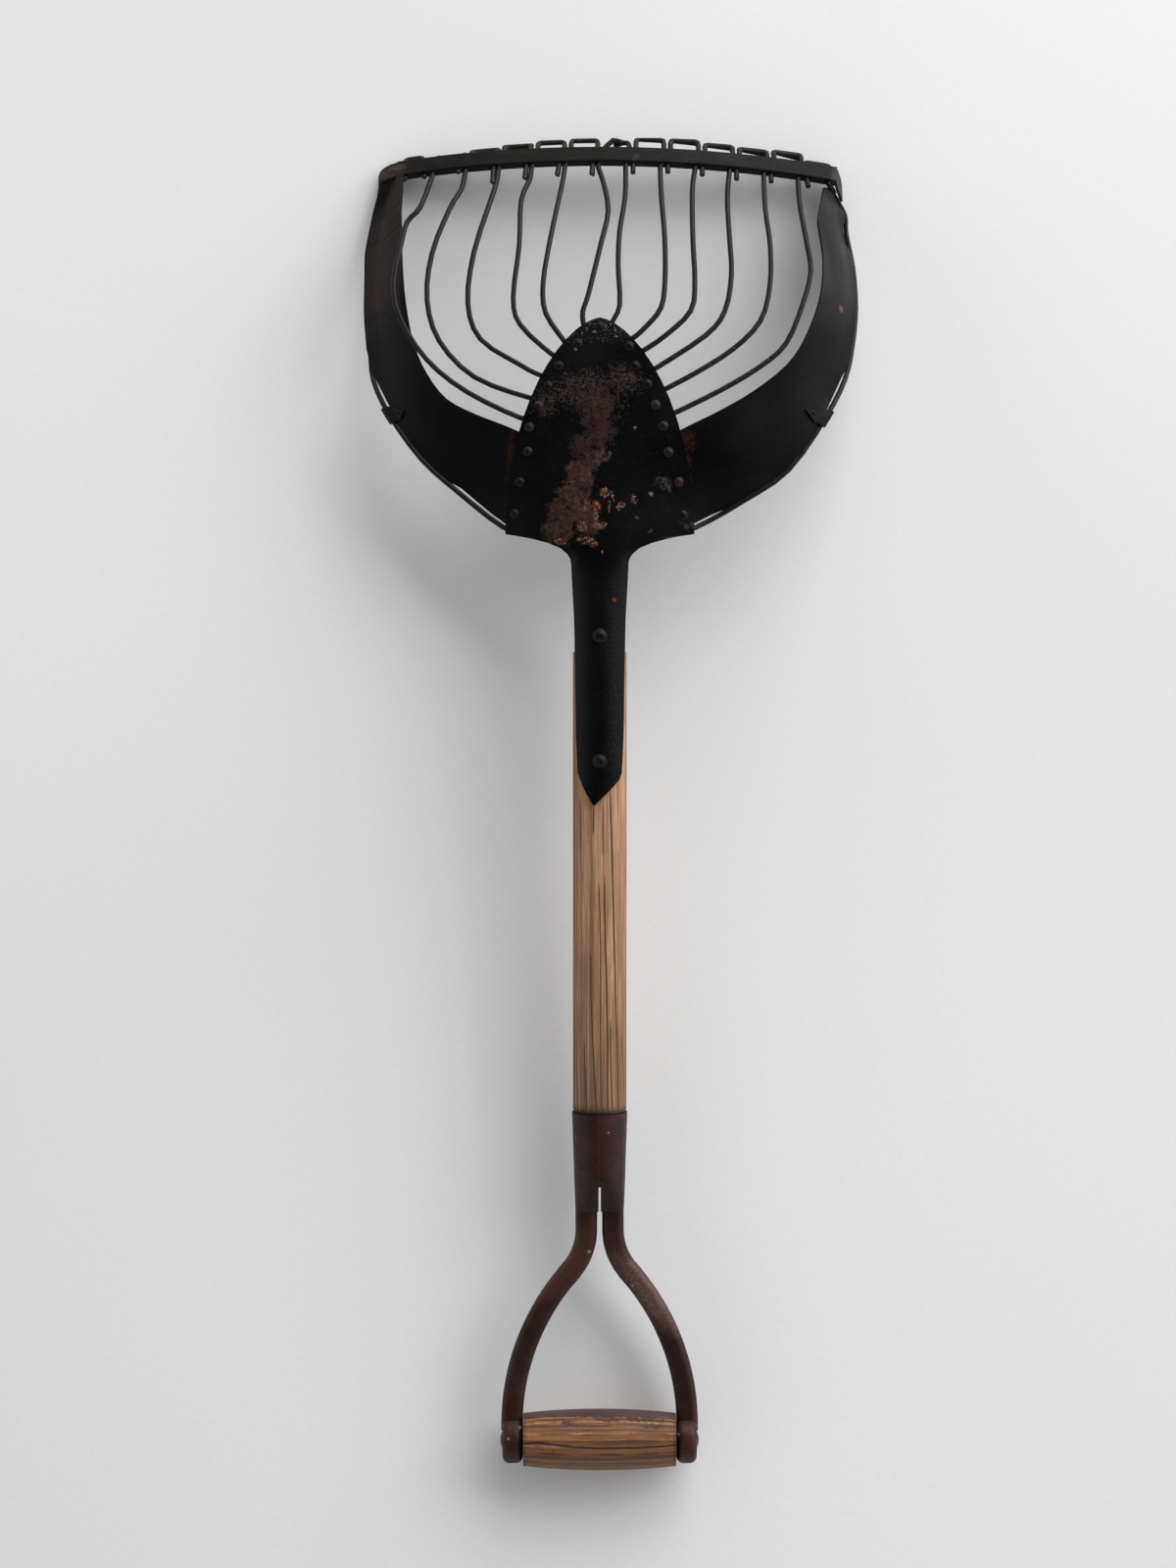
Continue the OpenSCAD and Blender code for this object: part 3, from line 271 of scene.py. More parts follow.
GREY_RUB = [(677, 494, 11, 8, -8, 0.9)]
GREY_RUBS = [(617, 466, 10, 7, 0, 0.6), (702, 535, 9, 6, 0, 0.6)]
# Pale specks on the plate: photograph x and y, radius in pixels
PLATE_SPECKS = [(664.3, 504.5, 2.4), (614.6, 564, 1.6), (648, 437, 1.5), (606, 338.5, 1.5), (616, 333, 1.5),
                (628, 337, 1.4), (587, 356, 1.6), (642, 352, 1.3), (592, 350, 1.2), (629, 343, 1.2)]


def plate_wear(g, colour, rough, height):
    w = g.wobble(g.pos, 160, 0.006, 4)
    fine_w = g.wobble(g.pos, 420, 0.004, 3)
    speck = g.noise(g.pos, 520, 5, 0.72)
    coarse = g.noise(g.pos, 230, 5, 0.7)

    def blobs(v, spots):
        return g.any(*[g.patch(v, at(x, y, PLATE_Z), rx * PLATE_PX, ry * PLATE_PX, turn, soft)
                       for x, y, rx, ry, turn, soft in spots])

    # rust: a speckled band across the tongue, a red streak down the middle, a large lower patch
    band = g.ragged(blobs(w, RUST_BAND), speck, 0.46, 0.86, 0.62)
    streak = g.ragged(blobs(w, RUST_STREAK), coarse, 0.40, 0.95, 0.80)
    low = g.ragged(blobs(w, RUST_LOW), coarse, 0.42, 0.80, 0.90)
    tone = g.noise(g.pos, 300, 5, 0.75)
    colour = g.tint(colour, band, 0.85, g.ramp(tone, (0.32, rgb(34, 22, 19)), (0.52, rgb(58, 38, 31)),
                                               (0.66, rgb(88, 64, 52)), (0.78, rgb(120, 96, 80))))
    colour = g.tint(colour, streak, 0.85, g.ramp(tone, (0.34, rgb(28, 13, 12)), (0.5, rgb(50, 26, 23)),
                                                 (0.72, rgb(72, 44, 37))))
    colour = g.tint(colour, low, 0.92, g.ramp(tone, (0.34, rgb(25, 14, 11)), (0.48, rgb(49, 31, 26)),
                                              (0.6, rgb(69, 49, 43)), (0.74, rgb(104, 84, 75))))
    # flakes where the paint has gone: pale, pinkish and one orange
    crumbs = g.noise(g.pos, 760, 4, 0.75)
    pale = g.ragged(blobs(fine_w, FLAKES), crumbs, 0.84, 0.98, 0.88)
    colour = g.mix(pale, colour, g.ramp(g.noise(g.pos, 520, 4, 0.75), (0.34, rgb(56, 36, 28)),
                                        (0.5, rgb(104, 76, 60)), (0.66, rgb(158, 130, 110))))
    orange = g.ragged(blobs(fine_w, ORANGE_FLAKE), crumbs, 0.80, 0.95, 0.88)
    colour = g.mix(orange, colour, g.ramp(g.noise(g.pos, 620, 3, 0.7), (0.36, rgb(70, 34, 22)),
                                          (0.52, rgb(138, 72, 38)), (0.7, rgb(178, 116, 82))))
    colour = g.tint(colour, g.ragged(blobs(fine_w, GREY_RUB), coarse, 0.55, 0.95, 0.85), 0.65, rgb(64, 63, 64))
    colour = g.tint(colour, g.ragged(blobs(w, GREY_RUBS), coarse, 0.5, 0.8, 0.7), 0.5, rgb(70, 66, 66))
    specks = g.any(*[g.patch(fine_w, at(x, y, PLATE_Z), r * SPECK_PX, r * SPECK_PX, 0, 0.5)
                     for x, y, r in PLATE_SPECKS])
    colour = g.tint(colour, specks, 0.6, rgb(120, 120, 118))
    # the tongue's tip and its right edge are chipped to fine grey specks
    edge = g.patch(g.pos, at(662, 385, PLATE_Z), 0.006, 0.040, -22, 0.6)
    tip = g.any(g.fade(g.split(g.pos)[1], 0.296, 0.336), g.mul(edge, 0.7))
    chips = g.ragged(tip, g.noise(g.pos, 700, 4, 0.75), 0.72, 0.90, 0.62)
    colour = g.tint(colour, chips, 0.8, rgb(104, 106, 104))
    colour = g.tint(colour, g.fade(g.noise(g.pos, 900, 2, 0.6), 0.66, 0.74), 0.35, rgb(70, 64, 60))
    worn = g.any(band, streak, low, pale, orange)
    rough = g.add(rough, g.mul(worn, 0.35), clamp=True)
    height = g.add(height, g.mul(worn, g.mul(g.noise(g.pos, 620, 4, 0.75), 2.0)))
    height = g.sub(height, g.mul(g.any(pale, orange), 0.7))
    return colour, rough, height


def outer_wear(g, colour, rough, height):
    """The plate's wear, and the strap's finer, leathery paint behind the neck."""
    colour, rough, height = plate_wear(g, colour, rough, height)
    on_strap = g.fade(g.split(g.pos)[1], 0.172, 0.15)
    pebble = g.cells(g.wobble(g.pos, 300, 0.003), 900)
    height = g.add(height, g.mul(on_strap, g.mul(pebble, 0.7)))
    rust_speck = g.patch(g.pos, at(627, 612, 0.08), 0.0014, 0.0014, 0, 0.5)
    return g.mix(rust_speck, colour, rgb(90, 40, 28)), rough, height


def wing_wear(g, colour, rough, height):
    w = g.wobble(g.pos, 60, 0.02, 3)
    fine_w = g.wobble(g.pos, 300, 0.004, 3)
    smear = g.noise(g.map(g.pos, scale=(1, 0.35, 1)), 40, 4, 0.6)
    rub = g.noise(g.pos, 260, 4, 0.7)

    def spot(v, px, py, z, rx, ry, turn, soft):
        return g.patch(v, at(px, py, z), rx, ry, turn, soft)

    # the left wing's upper half is worn brownish grey with a reddish place below it; the right wing's upper half
    # is lighter grey, a painted sheen
    left_top = spot(w, 395, 225, 0.02, 0.030, 0.050, 0, 0.5)
    colour = g.tint(colour, left_top, g.fade(smear, 0.3, 0.7, 0.35, 0.9), rgb(40, 35, 31))
    left_red = spot(w, 385, 292, 0.02, 0.016, 0.030, 0, 0.6)
    colour = g.tint(colour, left_red, g.fade(smear, 0.35, 0.7, 0.25, 0.8), rgb(40, 23, 20))
    # painted sheen: light grey over the right wing's upper half, where it faces the window
    right_top_sheen = spot(w, 846, 245, 0.02, 0.020, 0.055, 5, 0.6)
    colour = g.tint(colour, right_top_sheen, g.fade(smear, 0.3, 0.7, 0.3, 0.85), rgb(46, 44, 46))
    # painted shade: the dent in the left wing is darkened nearly to black
    shaded_dent = spot(fine_w, 390, 323, 0.03, 0.0055, 0.0036, 0, 0.8)
    colour = g.tint(colour, shaded_dent, 0.85, rgb(3, 2, 2))
    # rust along both seams with the plate
    right_seam = g.any(spot(fine_w, 701, 448, 0.068, 0.0065, 0.010, 0, 0.6),
                       spot(fine_w, 701.5, 478, 0.066, 0.0030, 0.020, 3, 0.6))
    right_seam = g.ragged(right_seam, rub, 0.50, 0.95, 0.85)
    colour = g.tint(colour, right_seam, 0.85, g.ramp(rub, (0.35, rgb(22, 12, 10)), (0.6, rgb(43, 23, 17))))
    left_seam = g.any(spot(fine_w, 522, 465, 0.066, 0.0045, 0.026, -4, 0.6),
                      spot(fine_w, 518, 525, 0.062, 0.0024, 0.014, 0, 0.5))
    colour = g.tint(colour, g.ragged(left_seam, rub, 0.50, 0.95, 0.8), 0.7, rgb(46, 28, 20))
    bare = spot(fine_w, 517.5, 530, 0.062, 0.0009, 0.008, 0, 0.5)
    colour = g.tint(colour, bare, g.fade(g.noise(g.pos, 700, 2), 0.4, 0.55), rgb(130, 112, 86))
    colour = g.tint(colour, spot(fine_w, 857, 317, 0.03, 0.0016, 0.0024, 20, 0.4), 0.8, rgb(100, 72, 58))
    specks = g.mul(g.fade(g.cells(g.pos, 190), 0.08, 0.03), g.fade(g.noise(g.pos, 35, 2), 0.5, 0.62))
    colour = g.tint(colour, specks, 0.45, rgb(74, 64, 56))
    rough = g.add(rough, g.mul(g.fade(smear, 0.4, 0.7), 0.10))
    height = g.add(height, g.mul(g.noise(g.map(g.pos, scale=(1, 0.5, 1)), 26, 2, 0.4), 4.0))
    creases = g.any(spot(w, 395, 215, 0.02, 0.022, 0.0016, 14, 0.6),
                    spot(w, 398, 241, 0.02, 0.018, 0.0014, 20, 0.6),
                    spot(fine_w, 850, 201, 0.02, 0.009, 0.0010, -52, 0.6))
    return colour, rough, g.sub(height, g.mul(g.any(creases, shaded_dent), 1.8))


def bar_wear(g, colour, rough, height):
    w = g.wobble(g.pos, 250, 0.005, 3)
    streaks = g.noise(g.map(g.pos, scale=(0.25, 1, 1)), 210, 4, 0.6)
    colour = g.mix(g.fade(streaks, 0.45, 0.7, 0.0, 0.5), colour, rgb(30, 28, 26))
    spots = g.any(g.patch(w, at(649, 158, 0.03), 0.0024, 0.0016, 0, 0.5),
                  g.patch(w, at(647, 165, 0.03), 0.0014, 0.0018, 0, 0.5))
    colour = g.tint(colour, spots, 0.5, rgb(66, 46, 42))
    corner = g.patch(w, at(396, 172, 0.015), 0.012, 0.014, 0, 0.6)
    colour = g.tint(colour, corner, g.fade(streaks, 0.35, 0.6, 0.2, 0.8), rgb(66, 56, 50))
    # painted sheen: the right tab's steep outer face is lighter grey
    tab_sheen = g.patch(w, at(856, 195, 0.012), 0.006, 0.018, 0, 0.4)
    colour = g.tint(colour, tab_sheen, 0.5, rgb(72, 72, 71))
    height = g.add(height, g.mul(g.noise(g.pos, 90, 3, 0.6), 2.0))
    return colour, g.add(rough, 0.08), height


# Rivets whose paint is rubbed through: photograph x and y
RUBBED_RIVETS = [(540, 436), (549, 416), (670, 413), (678, 435), (682, 461), (691, 492)]


def rivet_wear(g, colour, rough, height):
    mottle = g.noise(g.pos, 190, 4, 0.7)
    rubbed = g.any(*[g.patch(g.pos, at(x, y, 0.075), 0.0055, 0.0055, 0, 0.3) for x, y in RUBBED_RIVETS])
    amount = g.mul(g.fade(mottle, 0.36, 0.58, 0.1, 1.0), g.lerp(rubbed, 0, 1, 0.04, 0.7))
    colour = g.mix(amount, colour, g.ramp(mottle, (0.35, rgb(28, 17, 14)), (0.6, rgb(50, 34, 27))))
    colour = g.tint(colour, g.fade(g.noise(g.pos, 800, 2, 0.6), 0.64, 0.72), 0.4, rgb(96, 88, 82))
    height = g.add(height, g.mul(g.noise(g.pos, 520, 3, 0.6), 1.4))
    return colour, rough, height


# ---- wire ----
def wire_iron():
    g = Graph("wire_iron_skin")
    mottle = g.noise(g.pos, 160, 4, 0.65)
    colour = g.ramp(mottle, (0.3, rgb(11, 9, 12)), (0.55, rgb(19, 17, 21)), (0.75, rgb(32, 29, 34)))
    pits = g.fade(g.noise(g.pos, 700, 3, 0.7), 0.6, 0.7)
    colour = g.tint(colour, pits, 0.5, rgb(46, 34, 31))
    # the loops over the bar are worn and olive grey
    front = g.fade(g.split(g.pos)[1], 0.455, 0.466)
    worn = g.ramp(g.noise(g.pos, 330, 4, 0.7), (0.35, rgb(20, 19, 17)), (0.6, rgb(38, 35, 31)),
                  (0.8, rgb(80, 73, 64)))
    colour = g.tint(colour, front, 0.85, worn)
    # patches of thicker, glossier paint on the runs to the right of the plate
    runs = g.patch(g.pos, at(745, 385, 0.06), 0.062, 0.040, 28, 0.4)
    gloss = g.mul(runs, g.fade(g.noise(g.pos, 240, 3, 0.6), 0.45, 0.58))
    rough = g.add(g.lerp(mottle, 0.3, 0.7, 0.30, 0.46), g.mul(front, 0.12))
    rough = g.sub(rough, g.mul(gloss, 0.22))
    height = g.add(g.mul(g.noise(g.pos, 260, 3, 0.6), 1.4), g.mul(pits, -0.7))
    height = g.add(height, g.mul(gloss, g.mul(g.noise(g.pos, 480, 2, 0.6), 2.0)))
    return g.finish(height, 0.5, 0.0005, Base_Color=colour, Roughness=rough, Specular_IOR_Level=0.16)


# ---- wood ----
def along_handle(g):
    """The handle's own frame: X across, Y along the shaft from the grip, Z away from the floor."""
    return g.map(g.map(g.pos, loc=(-SHAFT_X, -GRIP_Y, -GRIP_Z)), rot=(-RISE, 0, 0))


# Cracks seen in the photograph, down the shaft: points (photograph y, x), and half a width in metres
SHAFT_CRACKS = [
    ([(796, 622), (865, 624.2), (929, 626), (979, 627.2), (1014, 627.9), (1064, 629.7), (1135, 631)], 0.00088),
    ([(886, 616.6), (952, 617.3), (1014, 619), (1064, 619.8), (1135, 619.8)], 0.00076),
    ([(960, 602.8), (1014, 602.8), (1049, 604.3), (1089, 606), (1135, 608.6)], 0.0006),
    ([(812, 605.6), (852, 605.6)], 0.00054), ([(806, 592), (868, 592.6)], 0.00054),
    ([(812, 614.8), (874, 615.3)], 0.00054), ([(895, 611), (964, 612.8), (1026, 612.8), (1135, 613.5)], 0.00054),
    ([(1035, 622.6), (1064, 623), (1135, 624.2)], 0.0006), ([(1050, 634), (1090, 636), (1135, 637.8)], 0.0006),
    ([(1050, 595.6), (1090, 597), (1135, 598.8)], 0.0006), ([(1040, 587.6), (1135, 589.6)], 0.00054),
]


def shaft_wood():
    g = Graph("shaft_ash")
    x, y, z = g.split(along_handle(g))
    around = g.mul(g.math("ARCTAN2", x, z), SHAFT_R)
    flat = g.join(around, y, 0.0)
    bent = g.split(g.wobble(g.join(around, g.mul(y, 0.5), 0.0), 16, 0.0022))[0]
    wide = g.noise(g.map(flat, scale=(1, 0.06, 1)), 150, 3, 0.5)
    fibre = g.noise(g.map(flat, scale=(1, 0.03, 1)), 1100, 4, 0.7)
    cloud = g.noise(g.map(flat, scale=(1, 0.5, 1)), 40, 4, 0.6)
    tone = g.ramp(wide, (0.30, rgb(160, 121, 90)), (0.5, rgb(184, 144, 110)), (0.72, rgb(206, 168, 134)))
    colour = g.mix(g.fade(fibre, 0.36, 0.62, 0.0, 0.5), tone, rgb(146, 108, 78))
    colour = g.mix(g.fade(cloud, 0.45, 0.7, 0.0, 0.35), colour, rgb(132, 100, 74))

    def streaks(scale, width, seed, along, lo, hi):
        n = g.noise(g.map(flat, loc=(seed, seed * 2, 0), scale=(1, along, 1)), scale * 0.9, 2, 0.55)
        return g.mul(g.lines(bent, scale, width, seed), g.fade(n, lo, hi))

    drift = g.noise(g.map(flat, scale=(1, 0.4, 1)), 90, 3, 0.6)
    where = g.add(around, g.mul(g.sub(drift, 0.5), 0.0008))

    def crack_line(path, width):
        spots = []
        for py, px in path:
            place = at(px, py, 0.06)
            along = (place[1] - GRIP_Y) / math.cos(RISE)
            spots.append((along, angle_of(place[0] - SHAFT_X, SHAFT_R) * SHAFT_R))
        top, bottom = spots[0][0], spots[-1][0]
        lo, hi = min(v for _, v in spots) - 0.001, max(v for _, v in spots) + 0.001
        points = [((top - u) / (top - bottom), v) for u, v in spots]
        off = g.size(g.sub(where, g.curve(g.lerp(y, top, bottom), points, lo, hi)))
        ends = g.mul(g.fade(y, bottom, bottom + 0.004), g.fade(y, top, top - 0.012))
        return g.mul(g.fade(off, width * 0.35, width, 1.0, 0.0), ends)

    dark = g.any(g.any(*[crack_line(path, width) for path, width in SHAFT_CRACKS]),
                 g.mul(streaks(210, 0.034, 3.1, 0.022, 0.40, 0.52), 0.5),
                 g.mul(streaks(420, 0.050, 7.7, 0.040, 0.44, 0.56), 0.45),
                 g.mul(streaks(760, 0.09, 1.3, 0.05, 0.44, 0.62), 0.3))
    colour = g.tint(colour, dark, 0.95, rgb(46, 31, 24))
    # purple-brown towards both sides, darker and greyer near the ferrule, a grimy ring at the socket
    colour = g.tint(colour, g.fade(g.size(around), 0.0185, 0.0285), 0.7, rgb(88, 60, 58))
    low = g.fade(y, 0.36, 0.245)
    colour = g.tint(colour, low, g.fade(wide, 0.3, 0.7, 0.55, 0.3), rgb(88, 66, 48))
    colour = g.tint(colour, g.fade(y, 0.2445, 0.2375), 0.9, rgb(28, 18, 15))
    height = g.sub(g.mul(fibre, 0.6), g.mul(dark, 2.2))
    height = g.add(height, g.mul(wide, 0.8))
    rough = g.lerp(fibre, 0.3, 0.7, 0.62, 0.82)
    return g.finish(height, 0.7, 0.0005, Base_Color=colour, Roughness=rough, Specular_IOR_Level=0.3)


# The dark smudge under the grip's upper edge: photograph x and y, radii in pixels, turn, softness
GRIP_SMUDGE = [(600, 1447, 34, 9, 0, 0.8), (616, 1450, 22, 7, 0, 0.8), (579, 1454, 10, 3, 0, 0.8),
               (660, 1450, 30, 6, 4, 0.8), (668, 1456, 9, 4, 0, 0.9), (562, 1447, 9, 4, 0, 0.8)]
# The long crack: points (share of the way from left to right, photograph y), the photograph x of its
# ends, and the photograph y between which it lies
GRIP_CRACK = [(0.0, 1474.0), (0.12, 1473.0), (0.22, 1475.0), (0.33, 1476.8), (0.46, 1477.8),
              (0.60, 1477.8), (0.77, 1477.5), (1.0, 1476.0)]
GRIP_CRACK_ENDS = (532, 691)
GRIP_CRACK_ROOM = (1470, 1482)


def grip_wood():
    g = Graph("grip_wood_worn")
    x, y, z = g.split(g.map(g.pos, loc=(-SHAFT_X, -GRIP_Y, -GRIP_Z)))
    around = g.mul(g.math("ARCTAN2", y, z), GRIP_R)
    skin_at = g.join(x, around, 0.0)
    bent = g.split(g.wobble(g.join(g.mul(x, 0.6), around, 0.0), 26, 0.0022))[1]
    stripe = g.band(bent, 330, 1.5, 2.0)
    wide = g.noise(g.map(skin_at, scale=(0.3, 1, 1)), 60, 3, 0.6)
    fibre = g.noise(g.map(skin_at, scale=(0.05, 1, 1)), 1000, 4, 0.7)
    mottle = g.noise(skin_at, 260, 4, 0.7)
    tone = g.ramp(stripe, (0.32, rgb(72, 43, 24)), (0.46, rgb(106, 68, 38)), (0.56, rgb(138, 92, 54)),
                  (0.70, rgb(172, 124, 78)))
    colour = g.mix(g.fade(fibre, 0.36, 0.62, 0.0, 0.5), tone, rgb(84, 57, 39))
    colour = g.mix(g.fade(mottle, 0.46, 0.66, 0.0, 0.6), colour, rgb(86, 57, 39))
    # painted highlight: a warm orange-tan band along the top of the grip, broken up by noise
    top_highlight = g.mul(g.fade(g.size(g.sub(around, 0.004)), 0.013, 0.004), g.fade(wide, 0.38, 0.62))
    colour = g.tint(colour, top_highlight, 0.3, rgb(168, 110, 62))
    breaks = g.noise(g.map(skin_at, scale=(0.12, 1, 1)), 300, 2, 0.5)
    lines = g.mul(g.lines(bent, 420, 0.07, 5.5), g.fade(breaks, 0.38, 0.56))
    colour = g.tint(colour, lines, 0.8, rgb(56, 36, 25))

    def skin_x(px):
        return at(px, 0, GRIP_TOP_Z)[0] - SHAFT_X

    def skin_y(py):
        return angle_of(at(0, py, GRIP_TOP_Z)[1] - GRIP_Y, GRIP_EDGE_R) * GRIP_R

    # a dark smudge under the upper edge, a weathered far side, and a purple-brown patina between
    wob = g.wobble(skin_at, 160, 0.004, 3)
    smudge = g.any(*[g.patch(wob, (skin_x(px), skin_y(py), 0), rx * PX, ry * PX, turn, soft)
                     for px, py, rx, ry, turn, soft in GRIP_SMUDGE])
    colour = g.tint(colour, g.ragged(smudge, mottle, 0.45, 0.95, 0.9), 0.85, rgb(44, 28, 22))
    patina = g.fade(g.add(around, g.mul(g.sub(mottle, 0.5), 0.006)), 0.0214, 0.0242)
    colour = g.tint(colour, g.fade(g.size(around), 0.031, 0.043), 0.5, rgb(112, 80, 55))
    colour = g.tint(colour, g.mul(patina, g.fade(around, 0.046, 0.034)), 0.85, rgb(60, 42, 50))
    colour = g.tint(colour, g.fade(around, -0.006, -0.018), 0.55, rgb(106, 76, 52))
    # painted shade: the wood darkens at both ends, in the gaps against the arms
    colour = g.tint(colour, g.fade(g.size(x), 0.0505, 0.0548), 0.6, rgb(48, 31, 23))
    # the long crack
    left, right = [skin_x(px) for px in GRIP_CRACK_ENDS]
    high, deep = [skin_y(py) for py in GRIP_CRACK_ROOM]
    line_y = g.curve(g.lerp(x, left, right), [(u, skin_y(v)) for u, v in GRIP_CRACK], deep, high)
    drift = g.mul(g.sub(g.noise(skin_at, 120, 3, 0.6), 0.5), 0.0009)
    off = g.size(g.add(g.sub(around, line_y), drift))
    depth = g.fade(g.noise(g.map(skin_at, scale=(1, 0.2, 1)), 90, 2, 0.5), 0.28, 0.42, 0.45, 1.0)
    crack = g.mul(g.fade(off, 0.00042, 0.00105, 1.0, 0.0), depth)
    colour = g.tint(colour, crack, 0.95, rgb(24, 15, 10))
    height = g.sub(g.mul(fibre, 0.5), g.mul(crack, 3.0))
    height = g.add(g.sub(height, lines), g.mul(stripe, 1.2))
    rough = g.lerp(fibre, 0.3, 0.7, 0.48, 0.66)
    return g.finish(height, 0.7, 0.0005, Base_Color=colour, Roughness=rough, Specular_IOR_Level=0.35)


# ---- rust-brown iron of the D handle, its rod and its pin ----
# Pale specks: photograph x and y, height in metres, radius in pixels
YOKE_SPECKS = [(618, 1134, 0.055, 1.5), (625, 1134, 0.055, 1.8), (621, 1156, 0.055, 0.9),
               (601, 1277, 0.036, 1.5), (531, 1456, 0.03, 1.5), (692, 1462, 0.03, 1.6),
               (645, 1312, 0.035, 1.3), (519, 1466, 0.03, 1.1)]


def yoke_iron():
    g = Graph("yoke_rust")
    h = along_handle(g)
    big = g.noise(g.pos, 30, 4, 0.6)
    mid = g.noise(g.pos, 130, 4, 0.65)
    fine = g.noise(g.pos, 620, 4, 0.65)
    colour = g.ramp(big, (0.3, rgb(28, 14, 11)), (0.5, rgb(42, 22, 17)), (0.7, rgb(58, 32, 25)))
    colour = g.mix(g.fade(mid, 0.42, 0.66, 0.0, 0.6), colour, rgb(26, 13, 12))
    colour = g.mix(g.fade(fine, 0.56, 0.7, 0.0, 0.5), colour, rgb(68, 39, 30))
    reddish = g.patch(g.wobble(g.pos, 60, 0.02), at(574, 1290, 0.035), 0.012, 0.03, -35, 0.6)
    colour = g.tint(colour, reddish, 0.5, rgb(80, 50, 38))
    worn = g.patch(g.wobble(g.pos, 90, 0.012), at(660, 1318, 0.035), 0.009, 0.032, 38, 0.6)
    colour = g.tint(colour, worn, g.fade(fine, 0.35, 0.6, 0.35, 0.85), rgb(94, 72, 66))
    # painted sheen: the flanks, which turn away from straight up, are tinted bluish purple
    up = g.split(g.node("NewGeometry").outputs["Normal"])[2]
    colour = g.tint(colour, g.fade(up, 0.62, 0.25), 0.32, rgb(50, 38, 46))
    seam = g.patch(g.wobble(h, 60, 0.0012), (0, 0.214, 0), 0.00035, 0.03, 0, 0.6)
    seam = g.mul(seam, g.fade(g.split(h)[2], 0.0, 0.01))
    colour = g.tint(colour, seam, 0.7, rgb(26, 17, 14))
    v = g.wobble(g.pos, 700, 0.0012)
    specks = g.any(*[g.patch(v, at(px, py, pz), r * PX, r * PX, 0, 0.4) for px, py, pz, r in YOKE_SPECKS])
    colour = g.tint(colour, specks, 0.8, rgb(140, 128, 118))
    rough = g.lerp(mid, 0.3, 0.7, 0.38, 0.58)
    height = g.add(g.mul(fine, 0.5), g.mul(mid, 1.3))
    height = g.sub(height, g.mul(seam, 1.5))
    return g.finish(height, 0.5, 0.0006, Base_Color=colour, Roughness=rough, Specular_IOR_Level=0.2)


BLACK = rgb(4, 4, 4)
WIRE = wire_iron()
FINISHES = {}
for material, pieces in [
    (paint("plate_paint", BLACK, 0.34, outer_wear), ["outer_plate"]),
    (paint("inner_plate_paint", BLACK, 0.40, wing_wear), ["inner_plate"]),
    (paint("wing_paint", BLACK, 0.36, wing_wear, 0.10), ["wing_left", "wing_right"]),
    (paint("bar_paint", rgb(7, 7, 6), 0.42, bar_wear), ["front_bar"]),
    (paint("rivet_paint", rgb(9, 8, 8), 0.30, rivet_wear), ["plate_rivets", "strap_rivets", "clip_rivets"]),
    (paint("clip_paint", rgb(14, 13, 13), 0.38), ["rim_clip_left", "rim_clip_right"]),
    (shaft_wood(), ["shaft"]),
    (grip_wood(), ["grip"]),
    (yoke_iron(), ["handle_yoke", "grip_rod", "socket_pin"]),
]:
    for piece in pieces:
        FINISHES[piece] = material

for name, obj in nodes.items():
    for slot in obj.material_slots:
        slot.material = FINISHES.get(name, WIRE)


# ---- smooth skins over the parts that are bent from sheet or wire ----
WELD, DEGENERATE = 4e-6, 2e-6


def skin(name, angle, move=None):
    """A welded, smoothly shaded copy of a node, which stands where the node is."""
    bm = bmesh.new()
    bm.from_mesh(nodes[name].data)
    bmesh.ops.remove_doubles(bm, verts=bm.verts, dist=WELD)
    bmesh.ops.dissolve_degenerate(bm, edges=bm.edges, dist=DEGENERATE)
    if move:
        for v in bm.verts:
            v.co = move(v.co)
    verts = [tuple(v.co) for v in bm.verts]
    faces = [[v.index for v in f.verts] for f in bm.faces]
    bm.free()
    mesh = bpy.data.meshes.new(name + "_skin")
    mesh.from_pydata(verts, [], faces)
    mesh.shade_smooth()
    mesh.set_sharp_from_angle(angle=math.radians(angle))
    mesh.materials.append(FINISHES.get(name, WIRE))
    obj = bpy.data.objects.new(name + "_skin", mesh)
    bpy.context.scene.collection.objects.link(obj)
    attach(obj, "tool")
    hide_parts(name)


# Lengths along Y between which a wing's edge stays open beside its rod
SLITS = {"left": [(0.275, 0.298), (0.196, 0.222)], "right": [(0.286, 0.307), (0.404, 0.415), (0.196, 0.206)]}
EDGE_GAP = 0.0034  # a wing's vertices nearer to the rod than this are its edge
EDGE_END = 0.442  # the edge stays as it is further along Y than this
PRESSED, LAPPED = 0.0021, 0.0052  # how far the edge moves onto the rod, and over it
INSIDE = 0.0001  # how far inside the CAD box the left wing is kept


